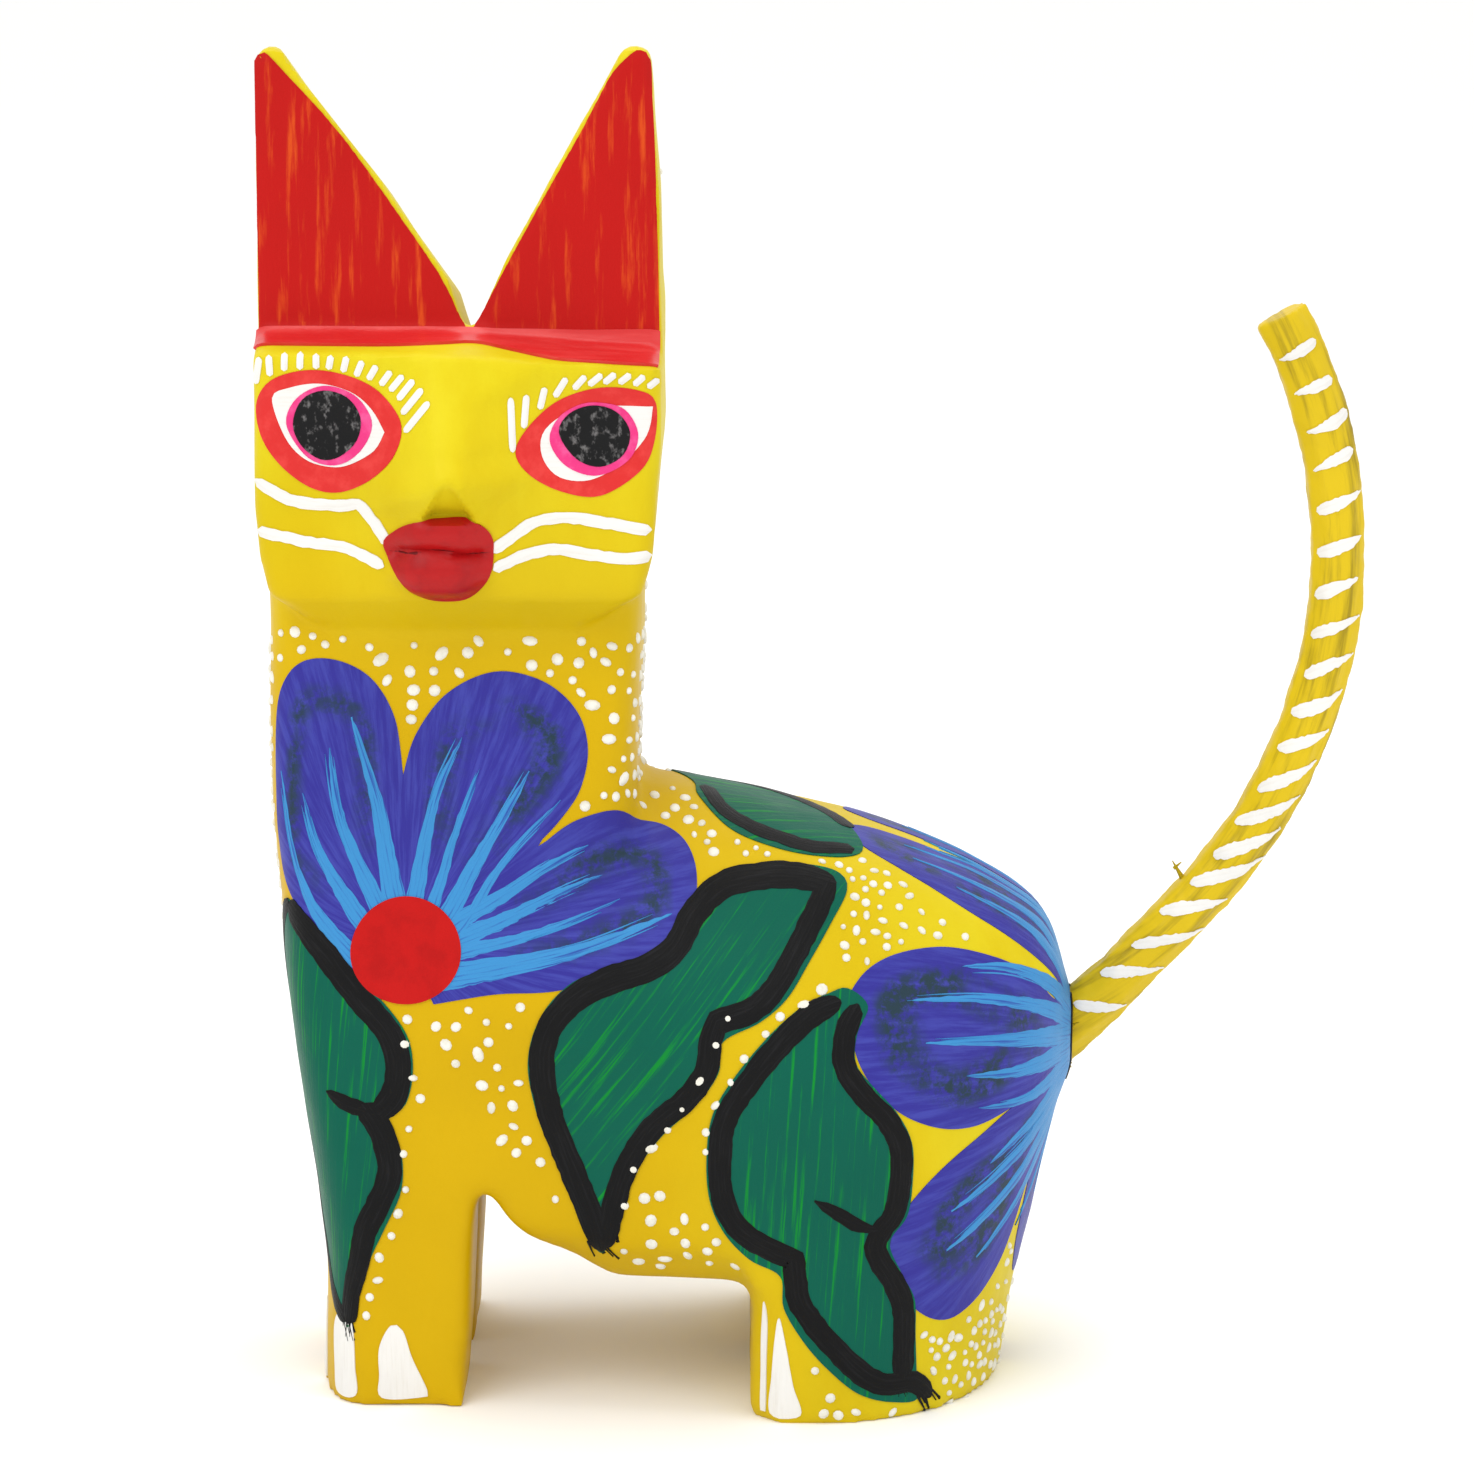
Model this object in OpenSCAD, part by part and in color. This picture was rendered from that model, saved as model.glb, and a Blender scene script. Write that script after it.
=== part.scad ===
// Alebrije cat: a standing cat whittled from one block of copal wood, its head
// turned to the side, with a separate bent-twig tail pegged into the rump.
// Millimetres. +X runs from the chest to the tail, -Y is the side the face looks
// to, +Z is up. The origin is under the middle of the whole figure.

/* [Block] */
// Length of the carved block, from the outer ear edge to the rump
body_len = 122.3; // [110:0.1:150]
// Thickness of the block at the haunches
haunch_w = 72; // [62:1:88]
// Thickness at the chest and front legs
chest_w = 54.8; // [47:0.2:62]
// Thickness of the neck
neck_w = 44; // [36:1:50]

/* [Heights] */
// Height of the ear tips
figure_h = 205; // [186:1:246]
// Height of the brow edge that overhangs the eyes
brow_z = 161; // [150:1:175]
// Height of the crease where the chin meets the neck
chin_z = 118.7; // [108:0.1:127]
// Height of the back where it meets the neck
back_z = 93.4; // [84:0.1:102]
// Height of the rump's top edge, over the tail
rump_z = 63.3; // [59:0.1:72]
// Height of the belly at its lowest
belly_z = 21.5; // [16:0.5:27]

/* [Head] */
// Width of the head across the face
head_l = 60; // [54:0.5:72]
// Depth that the jaw stands out from the neck
jaw_out = 6.4; // [4:0.1:9]
// Depth that the nose stands out from the cheeks
nose_out = 8; // [4:0.5:10]
// Width of the mouth
mouth_l = 15.5; // [12:0.1:19]
// Height of the mouth
mouth_h = 11.8; // [9:0.2:14]
// Depth from the brow edge back to the front of the ears
ledge = 9.6; // [7:0.2:13]
// Thickness of an ear at its tip
ear_tip = 6; // [4:0.5:9]
// Backward slope of the notch sawn between the ears
notch_tilt = 10; // [6:1:16]

/* [Neck and legs] */
// Length of the neck along the body
neck_l = 56.6; // [48:0.2:60]
// Length of a front foot along the body
front_foot_l = 22.4; // [18:0.2:27]
// Length of a hind foot along the body
hind_foot_l = 39; // [33:1:46]
// Height of the belly arch beside the front legs
arch_z = 35; // [29:1:42]
// Width of the saw cut between the front legs
front_gap = 10; // [6:0.5:14]
// Width of the saw cut between the hind legs
hind_gap = 9; // [6:0.5:14]
// Width of the cut-off front corner of a hind paw
paw_chamfer = 4.6; // [3:0.2:7]
// Width of the chamfer whittled along the belly
belly_chamfer = 5; // [3:0.5:8]

/* [Tail] */
// Thickness of the tail
tail_d = 8; // [6.4:0.2:10]
// Radius of the bend in the tail's centre line
tail_bend = 79.5; // [66:1:98]
// Length of the straight butt of the tail, outside the body
butt_l = 27; // [22:0.5:35]
// Angle of the butt and the peg above level
tail_rise = 47; // [39:1:54]
// Angle of the tail's end, from level
tail_end = 118; // [105:1:128]
// Gap between the tail's shoulder and the rump
shoulder_gap = 0.8; // [0.6:0.1:1.5]
// Height of the tail's centre line at the rump
tail_z = 52.6; // [46:0.1:57]

/* [Peg] */
// Diameter of the whittled peg
peg_d = 5.2; // [4:0.1:6.4]
// Length of the peg beyond the shoulder, along its axis
peg_l = 15; // [10:0.5:18]
// Clearance round the peg, on the radius
peg_fit = 0.05; // [0.02:0.01:0.1]
// Depth of the socket past the end of the peg
socket_spare = 1; // [0.5:0.1:2]

/* [Hidden] */
wood_yellow = "gold";
past = 2;          // how far a cutter runs past what it cuts
lap = 0.2;         // how far the tail's straight butt runs into its bend
post_sides = 28;   // points round one level of the neck and front legs
trunk_steps = 9;   // points round a quarter of the rump at one level
lip_fn = 32;

// The tail's centre line: where it bends, and how far it reaches past the rump
butt_start = body_len + shoulder_gap;
bend_x = butt_start + butt_l * cos(tail_rise);
bend_z = tail_z + butt_l * sin(tail_rise);
bend_centre = [bend_x - tail_bend * sin(tail_rise), bend_z + tail_bend * cos(tail_rise)];
figure_l = bend_centre[0] + tail_bend + tail_d / 2;

// Places along the block, from the outer ear edge
front_foot_x = 7;
arch_start = front_foot_x + front_foot_l;
foot_back_x = body_len - 10.1;
arch_end = foot_back_x - hind_foot_l;
haunch_x = arch_end + 10;
trunk_start = front_foot_x + 6;

// Places on the head
back_y = neck_w / 2;
jaw_y = -back_y - jaw_out;
ear_y = jaw_y + ledge;
jaw_z = chin_z + 6.2;
crown_z = brow_z + 2;
nose_x = 0.487 * head_l;
mouth_x = 0.46 * head_l;
notch_x = 0.525 * head_l;
brow_drop = 2.4;   // how far the brow falls towards the tail side
head_corner = 3;

// One level of a rounded block: x0 to x1, half as thick as half, and how square it is
function block_ring(x0, x1, half, square, z) = [
    for (i = [0:post_sides - 1])
        let (a = 360 * i / post_sides, c = cos(a), s = sin(a))
        [(x0 + x1) / 2 + (x1 - x0) / 2 * sign(c) * pow(abs(c), 2 / square),
         half * sign(s) * pow(abs(s), 2 / square), z]];

// Half of one level of the trunk: egg-shaped at the rump, straight towards the chest
function trunk_half(x1, half, front, z) =
    let (xm = min(haunch_x, x1 - 0.8 * half), x_mid = (2 * xm + trunk_start) / 3)
    concat(
        [for (i = [0:trunk_steps])
            let (a = 90 * i / trunk_steps)
            [xm + (x1 - xm) * cos(a), half * pow(sin(a), 0.9), z]],
        [[x_mid, half - 0.3 * (half - front), z], [trunk_start, front, z]]);

// One whole level of the trunk: height, rump edge, half width at the haunch and at the chest
function trunk_ring(level) =
    let (side = trunk_half(level[1], level[2], level[3], level[0]), n = len(side))
    concat(side, [for (i = [n - 1:-1:1]) [side[i][0], -side[i][1], side[i][2]]]);

// Joins rings of equal length into one closed solid
module loft(rings) {
    n = len(rings[0]);
    last = len(rings) - 1;
    sides = [for (k = [0:last - 1], i = [0:n - 1])
        let (j = (i + 1) % n, a = k * n, b = a + n)
        each [[a + i, b + i, b + j], [a + i, b + j, a + j]]];
    ends = [[for (i = [0:n - 1]) i], [for (i = [n - 1:-1:0]) last * n + i]];
    polyhedron([for (ring = rings) each ring], concat(ends, sides));
}

// Neck, chest and front legs: each row is height, left edge, right edge, half width, squareness
module post() {
    half = chest_w / 2;
    rows = [
        [0, front_foot_x, arch_start, half, 3.2],
        [0.12 * back_z, front_foot_x + 0.6, arch_start + 0.8, half, 3.4],
        [0.24 * back_z, front_foot_x + 0.6, arch_start + 1.8, half - 0.2, 3.6],
        [0.35 * back_z, front_foot_x - 0.2, arch_start + 2.2, half - 0.3, 4],
        [0.49 * back_z, 4.7, arch_start + 1, half - 0.3, 4.4],
        [0.62 * back_z, 3.2, arch_start - 2, half - 0.2, 4.6],
        [0.7 * back_z, 2.5, arch_start, half, 5],
        [0.79 * back_z, 1.9, arch_start + 0.4 * (neck_l - arch_start), half - 0.2, 5],
        [0.87 * back_z, 1.4, neck_l - 2, half - 1, 5.5],
        [0.95 * back_z, 0.8, neck_l - 0.6, (half + back_y) / 2 + 0.8, 6],
        [back_z, 0.7, neck_l - 0.6, (half + back_y) / 2, 6],
        [(back_z + chin_z) / 2, 0.5, neck_l - 0.2, back_y + 0.6, 7],
        [chin_z, 0.7, neck_l + 0.4, back_y, 7],
        [chin_z + 10, 0.7, neck_l + 0.8, back_y - 0.3, 7]];
    loft([for (r = rows) block_ring(r[1], r[2], r[3], r[4], r[0])]);
}

// Shoulders, belly, haunches and rump: each row is height, rump edge, half widths
module trunk() {
    half = haunch_w / 2;
    chest = chest_w / 2;
    slope = back_z - rump_z;
    rows = [
        [0, foot_back_x, half, chest - 2],
        [0.2 * rump_z, foot_back_x + 2, half, chest - 2],
        [0.48 * rump_z, body_len - 4.1, half, chest - 2.8],
        [0.76 * rump_z, body_len - 0.1, half, chest - 2],
        [0.9 * rump_z, body_len, half - 0.6, chest - 0.4],
        [rump_z, body_len - 0.6, half - 2.2, chest + 0.3],
        [rump_z + 0.22 * slope, body_len - 2.8, half - 5, chest + 0.2],
        [rump_z + 0.32 * slope, body_len - 5.2, half - 7, chest - 0.2],
        [rump_z + 0.42 * slope, body_len - 9.6, half - 9, chest - 1],
        [rump_z + 0.53 * slope, body_len - 15.4, half - 11.4, chest - 2.4],
        [rump_z + 0.63 * slope, body_len - 22.8, half - 14, chest - 4],
        [rump_z + 0.74 * slope, body_len - 32, half - 17.6, chest - 7],
        [rump_z + 0.85 * slope, body_len - 46, half - 22, chest - 10.5],
        [rump_z + 0.95 * slope, body_len - 57.5, half - 27, chest - 15],
        [back_z, body_len - 65, half - 32, chest - 20]];
    loft([for (r = rows) trunk_ring(r)]);
}

// One level of the head: ring is height, left edge, right edge, depth of the cheeks
// and of the ridge, half width of the ridge, and how far the level falls to the right
function head_ring(ring) =
    let (x0 = ring[1], x1 = ring[2], ys = ring[3], yr = ring[4], w = ring[5], c = head_corner)
    [for (p = [[x1, back_y - c], [x1 - c, back_y], [x0 + c, back_y], [x0, back_y - c],
               [x0, ys + c / 2], [x0 + c / 2, ys],
               [nose_x - 0.45 * (nose_x - x0), ys + 0.15 * (yr - ys)], [nose_x - w, yr],
               [nose_x + w, yr], [nose_x + 0.45 * (x1 - nose_x), ys + 0.15 * (yr - ys)],
               [x1 - c / 2, ys], [x1, ys + c / 2]])
        [p[0], p[1], ring[0] - ring[6] * max(0, p[0] - nose_x) / (head_l - nose_x)]];

module head() {
    rows = [
        [chin_z, 0.17 * head_l, 0.78 * head_l, -back_y, -back_y, 8, 0],
        [jaw_z, 0.032 * head_l, 0.95 * head_l, jaw_y + 0.4, jaw_y - 0.2, 8, 0],
        [jaw_z + 6, 0.01 * head_l, 0.977 * head_l, jaw_y, jaw_y - 2, 6, 0],
        [jaw_z + 13, 0, 0.987 * head_l, jaw_y + 0.2, jaw_y - 2.6, 4, 0],
        [jaw_z + 18, 0, 0.995 * head_l, jaw_y + 0.6, jaw_y - nose_out + 0.6, 1.6, 0],
        [jaw_z + 22, 0, head_l, jaw_y + 1, jaw_y - 0.8 * nose_out, 2, 0],
        [brow_z - 7, 0, head_l, jaw_y + 1, jaw_y - 0.5 * nose_out, 3, 1],
        [brow_z, 0.2, head_l, jaw_y - 0.6, jaw_y - 2, 3, brow_drop],
        [crown_z, 0.3, head_l, ear_y - 1, ear_y - 1, 3, brow_drop]];
    loft([for (r = rows) head_ring(r)]);
}

// Both ears as one slab, before the notch is sawn
module ears() {
    base = brow_z - 4;
    c = head_corner;
    front = [[0.3, base], [0.3, figure_h - 1.8], [1.6, figure_h], [56.9 / 60 * head_l, figure_h],
             [head_l - 1.6, figure_h - 1], [head_l - 0.2, brow_z + 0.5 * (figure_h - brow_z)],
             [head_l, base]];
    side = [[ear_y, base], [back_y, base], [back_y, crown_z - 1], [back_y - 17, crown_z + 16],
            [ear_y + ear_tip, figure_h], [ear_y, figure_h]];
    plan = [[0, ear_y], [head_l, ear_y], [head_l, back_y - c], [head_l - c, back_y],
            [c, back_y], [0, back_y - c]];
    intersection() {
        translate([0, haunch_w, 0]) rotate([90, 0, 0]) linear_extrude(2 * haunch_w) polygon(front);
        translate([-past, 0, 0]) rotate([90, 0, 90]) linear_extrude(head_l + 2 * past) polygon(side);
        translate([0, 0, base]) linear_extrude(figure_h) polygon(plan);
    }
}

// The notch between the ears, sawn on a slope down to the back
module ear_notch() {
    rise = figure_h - crown_z;
    left = notch_x - 2.6;
    right = 55.2 / 60 * head_l - notch_x;
    outline = [[0, -0.3], [-1.3, 0.06 * rise], [-0.11 * left, 0.2 * rise], [-0.45 * left, 0.54 * rise],
               [-0.84 * left, 0.88 * rise], [-left, 1.04 * rise], [-left, 2 * rise], [right, 2 * rise],
               [right, 1.02 * rise], [0.66 * right, 0.68 * rise], [0.23 * right, 0.26 * rise],
               [1.6, 0.06 * rise]];
    deep = neck_w + jaw_out + past;
    translate([notch_x, ear_y, crown_z]) rotate([-notch_tilt, 0, 0])
        translate([0, deep, 0]) rotate([90, 0, 0]) linear_extrude(deep + ledge) polygon(outline);
}

// One lip: a rounded bar with tapering ends
module lip(z, high, out) {
    r = high / 2;
    end = 1.6;
    hull() {
        for (side = [-1, 1]) {
            translate([mouth_x + side * 0.16 * mouth_l, jaw_y - out + r, z]) sphere(r = r, $fn = lip_fn);
            translate([mouth_x + side * (mouth_l / 2 - end), jaw_y - 1, z]) sphere(r = end, $fn = lip_fn);
        }
    }
}

module mouth() {
    middle = jaw_z + 0.57 * mouth_h;
    lip(middle + 0.22 * mouth_h, 0.5 * mouth_h, 5);
    lip(middle - 0.2 * mouth_h, 0.58 * mouth_h, 5);
}

// What the saw takes out under the belly, right through from side to side
module belly_arch() {
    outline = [[arch_start, -past], [arch_start + 1.4, 0.5 * arch_z], [arch_start + 2, arch_z - 1.5],
               [arch_start + 3.4, arch_z], [arch_start + 7, belly_z + 8], [arch_start + 10, belly_z + 5],
               [arch_start + 17, belly_z + 1.8], [arch_start + 24, belly_z], [arch_end, belly_z],
               [arch_end, -past]];
    translate([0, haunch_w, 0]) rotate([90, 0, 0]) linear_extrude(2 * haunch_w) polygon(outline);
}

// The chamfer whittled along the belly on one side, following the flank
module belly_edge(side) {
    c = belly_chamfer;
    start = arch_start + 7;
    long = arch_end - start;
    swing = atan2((haunch_w - chest_w) / 2, haunch_x - arch_start);
    flank = chest_w / 2 - 0.8;
    out = 6; // well outside the flank's swell
    mirror([0, side > 0 ? 0 : 1, 0])
        translate([start, flank, belly_z - past]) rotate([0, 0, swing]) rotate([90, 0, 90])
            linear_extrude(long) polygon([[-c - past, 0], [out, 0], [out, c + past + out]]);
}

// A saw cut along the body between a pair of legs, round at its top
module leg_gap(x0, x1, wide, high) {
    r = wide / 2;
    translate([x0, -r, -past]) cube([x1 - x0, wide, high - r + past]);
    translate([x0, 0, high - r]) rotate([0, 90, 0]) cylinder(r = r, h = x1 - x0, $fn = 48);
}

// The cut-off front corner of a hind paw on one side, running a little way up the flank
module paw_corner(side) {
    out = haunch_w / 2 + past;
    back = paw_chamfer + 2 * past;
    mirror([0, side > 0 ? 0 : 1, 0]) translate([arch_end - past, out, -past])
        linear_extrude(belly_z + 1.5 * past) polygon([[0, 0], [0, -back], [back, 0]]);
}

// Along the peg's axis, z = 0 where it meets the shoulder
module at_peg() {
    translate([butt_start, 0, tail_z]) rotate([0, 90 - tail_rise, 0]) children();
}

module tail_socket() {
    depth = peg_l + socket_spare;
    at_peg() translate([0, 0, -depth]) cylinder(r = peg_d / 2 + peg_fit, h = depth + 4 * past, $fn = 64);
}

// The block with all its knife and saw work, as one mesh: resize() to no new size
// has the whole shape joined at once
module whittled_block() {
    resize([0, 0, 0]) difference() {
        union() {
            post();
            trunk();
            head();
            ears();
            mouth();
        }
        ear_notch();
        belly_arch();
        leg_gap(-past, arch_start + 3.1, front_gap, arch_z - 0.4);
        leg_gap(arch_end - past, body_len + past, hind_gap, belly_z);
        for (side = [-1, 1]) {
            belly_edge(side);
            paw_corner(side);
        }
    }
}

module carved_body() {
    color(wood_yellow) translate([-figure_l / 2, 0, 0]) difference() {
        whittled_block();
        tail_socket();
    }
}

// The twig's section: a square with its corners whittled off
module tail_section() {
    h = tail_d / 2;
    c = 0.45 * h;
    polygon([[h, -c], [h, c], [c, h], [-c, h], [-h, c], [-h, -c], [-c, -h], [c, -h]]);
}

module tail() {
    block = 4 * tail_d;
    color(wood_yellow) translate([-figure_l / 2, 0, 0]) union() {
        // the bend
        translate([bend_centre[0], 0, bend_centre[1]]) rotate([90, 0, 0])
            rotate([0, 0, tail_rise - 90]) rotate_extrude(angle = tail_end - tail_rise, $fn = 128)
                translate([tail_bend, 0]) tail_section();
        // the butt, cut off plumb so that its shoulder stands just clear of the rump
        difference() {
            at_peg() translate([0, 0, -tail_d]) linear_extrude(butt_l + tail_d + lap) tail_section();
            translate([butt_start - block, -block / 2, tail_z - block / 2]) cube(block);
        }
        at_peg() translate([0, 0, -peg_l]) cylinder(r = peg_d / 2, h = peg_l + tail_d / 2, $fn = 64);
    }
}

carved_body();
tail();
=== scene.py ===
"""A hand-painted wooden cat with a twig tail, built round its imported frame.

The cat is whittled from one block and painted yellow all over. Flowers, leaves, a face and rows of dots
are laid on top, and each of them is a thin raised coat of its own that follows the wood.

Outlines are in millimetres of a chart, which is a way to unroll one part of the block. The cat's own
millimetres run from the outer edge of the ear over its chest to the tail (x), from its middle plane to
its far side (y) and up from the floor (z).
"""

import logging
import math
import random
from dataclasses import dataclass, field
from enum import Enum
from typing import Callable, Optional, Sequence

import bpy
import numpy as np
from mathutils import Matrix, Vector
from mathutils.bvhtree import BVHTree
from mathutils.kdtree import KDTree


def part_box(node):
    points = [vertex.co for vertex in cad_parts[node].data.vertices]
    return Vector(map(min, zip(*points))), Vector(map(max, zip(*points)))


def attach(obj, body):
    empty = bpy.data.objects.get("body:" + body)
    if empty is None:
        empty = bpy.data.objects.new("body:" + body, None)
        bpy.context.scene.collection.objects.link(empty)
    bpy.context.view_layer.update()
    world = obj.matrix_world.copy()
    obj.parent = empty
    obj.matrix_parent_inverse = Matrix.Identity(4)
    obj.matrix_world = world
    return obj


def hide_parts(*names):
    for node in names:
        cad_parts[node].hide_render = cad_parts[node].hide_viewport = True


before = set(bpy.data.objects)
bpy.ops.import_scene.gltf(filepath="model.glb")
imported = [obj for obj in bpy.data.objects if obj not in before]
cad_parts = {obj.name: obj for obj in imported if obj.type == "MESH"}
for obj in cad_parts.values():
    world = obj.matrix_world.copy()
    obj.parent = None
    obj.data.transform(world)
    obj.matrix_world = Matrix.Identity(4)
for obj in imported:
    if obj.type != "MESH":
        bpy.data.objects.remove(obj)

LOG = logging.getLogger("painted_cat")
MM = 0.001
FAR = 300.0

TO_SCREEN = 255
BRUSH = "brush"
SCRUB = "scrub"

Point = tuple[float, float]
Colour = tuple[int, int, int]
Piece = bpy.types.Object
Socket = bpy.types.NodeSocket
Share = Callable[[float, float, float], float]


class Slot(Enum):
    """The record's material slots."""

    YELLOW = "yellow_paint"
    TAIL = "tail_paint"
    BLUE = "blue_paint"
    SKY = "light_blue_paint"
    RED = "red_paint"
    GREEN = "green_paint"
    BLACK = "black_paint"
    WHITE = "white_paint"
    PINK = "pink_paint"


class Body(Enum):
    """The bodies that pieces ride on."""

    FIGURE = "figure"
    TAIL = "tail_twig"


class Side(Enum):
    """The two flanks of the cat."""

    NEAR = 1
    OTHER = -1


class Marks(Enum):
    """What a finish takes the run of its brush marks from."""

    WOOD = "wood"
    STROKE = "stroke"


class Taper(Enum):
    """How wide a brush stroke is from its start to its end, as a share of its full width."""

    POINTED = "pointed"
    EVEN = "even"
    LENS = "lens"
    ROUND = "round"
    DROP = "drop"

    def width(self, t: float) -> float:
        """Returns the share of the full width at t, from 0 at the start to 1 at the end."""
        if self is Taper.POINTED:
            return max(0.04, (1 - t) ** 0.75)
        if self is Taper.LENS:
            return max(0.05, math.sin(math.pi * min(1.0, max(0.0, t))) ** 0.7)
        if self is Taper.DROP:
            return max(0.08, math.sin(math.pi * min(1.0, max(0.0, t)) ** 0.62) ** 0.75)
        reach = 0.06 if self is Taper.EVEN else 0.2
        near_end = min(t, 1 - t) / reach
        return max(0.12, math.sqrt(1 - (1 - min(1.0, near_end)) ** 2))


def linear(colour: Colour) -> tuple[float, float, float, float]:
    """Turns a colour as seen on a screen, 0 to 255, into linear light with an alpha of 1."""
    shares = [channel / TO_SCREEN for channel in colour]
    light = [s / 12.92 if s <= 0.04045 else ((s + 0.055) / 1.055) ** 2.4 for s in shares]
    return (*light, 1.0)


@dataclass(frozen=True)
class Finish:
    """One paint as it dried on the wood.

    Attributes:
        coat: its main colour.
        drag: the colour where the brush dragged and the coat is thin.
        share: how much of the surface the dragged colour takes.
        marks: how often brush marks come along x, y and z, or along and across a stroke, per metre.
        sharp: how hard the edge of a brush mark is, from 0 to 1.
        follows: what the marks run along.
        smudge: a dry dark scrub inside the rim, or None.
        gloss: roughness of the dry coat.
        relief: height of the brush marks in millimetres.
        sheen: how much the dry coat mirrors.
        low: a darker main colour lower down and towards the chest, painted shade, or None.
    """

    name: str
    slot: Slot
    coat: Colour
    drag: Colour
    share: float = 0.35
    marks: tuple[float, float, float] = (160, 160, 40)
    sharp: float = 0.3
    follows: Marks = Marks.WOOD
    smudge: Optional[Colour] = None
    gloss: float = 0.42
    relief: float = 0.10
    sheen: float = 0.2
    low: Optional[Colour] = None


# The yellow turns to a darker low colour lower down and towards the chest: painted shade.
YELLOW = Finish("yellow coat", Slot.YELLOW, (212, 196, 26), (206, 184, 12), 0.42, (60, 60, 22), 0.15,
                sheen=0.1, low=(198, 160, 0))
TAIL_YELLOW = Finish("tail yellow", Slot.TAIL, (208, 178, 12), (150, 128, 14), 0.3, (36, 520, 1), 0.35,
                     Marks.STROKE, relief=0.2)
BLUE = Finish("petal blue", Slot.BLUE, (44, 40, 138), (58, 62, 156), 0.42, (90, 1500, 1), 0.25,
              Marks.STROKE, (28, 50, 62), relief=0.08)
SKY = Finish("light blue strokes", Slot.SKY, (54, 134, 192), (40, 78, 158), 0.30, (60, 2600, 1), 0.7,
             Marks.STROKE, relief=0.12)
RED = Finish("red coat", Slot.RED, (182, 16, 14), (170, 13, 12), 0.4, (220, 220, 220), 0.2, sheen=0.12)
EAR_RED = Finish("ear red", Slot.RED, (178, 16, 12), (206, 74, 20), 0.22, (620, 620, 55), 0.5, sheen=0.12)
# A lighter red than the ears' red: painted light on the ledge, which faces up.
LIT_BROW_RED = Finish("lit brow red", Slot.RED, (204, 36, 36), (214, 60, 58), 0.3, (60, 400, 400), 0.3, gloss=0.3,
                  sheen=0.45)
EYE_RED = Finish("eye ring red", Slot.RED, (206, 40, 38), (216, 58, 54), 0.4, (300, 300, 300), 0.3)
LIP_RED = Finish("lip red", Slot.RED, (172, 16, 18), (156, 12, 16), 0.4, (240, 240, 240), 0.2, gloss=0.34,
                 sheen=0.22)
# A dark red laid in the crease between the lips: painted shade in the crease.
LIP_CREASE_SHADE = Finish("lip crease", Slot.RED, (92, 10, 14), (110, 12, 16), 0.4, (240, 240, 240), 0.2)
GREEN = Finish("leaf green", Slot.GREEN, (2, 88, 70), (10, 132, 44), 0.27, (40, 1300, 1), 0.7,
               Marks.STROKE, relief=0.09, sheen=0.1)
BLACK = Finish("black strokes", Slot.BLACK, (12, 12, 13), (24, 24, 26), 0.3, (120, 2400, 1), 0.5,
               Marks.STROKE, gloss=0.42, relief=0.14, sheen=0.12)
PUPIL = Finish("pupil black", Slot.BLACK, (18, 18, 19), (104, 102, 102), 0.26, (900, 900, 620), 0.6,
               gloss=0.3, sheen=0.15)
WHITE = Finish("white strokes", Slot.WHITE, (226, 224, 220), (219, 216, 210), 0.3, (120, 1800, 1), 0.2,
               Marks.STROKE, relief=0.05)
DOT_WHITE = Finish("white dots", Slot.WHITE, (228, 226, 216), (212, 208, 192), 0.4, (500, 500, 500), 0.2)
PINK = Finish("pink ring", Slot.PINK, (220, 50, 122), (226, 80, 142), 0.35, (400, 400, 400), 0.3)
# A dark ring round the tail's socket: painted shadow in the gap where the tail meets the rump.
GAP_SHADOW = Finish("gap shadow", Slot.BLACK, (24, 24, 34), (50, 40, 24), 0.4, (500, 500, 500), 0.4)


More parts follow.
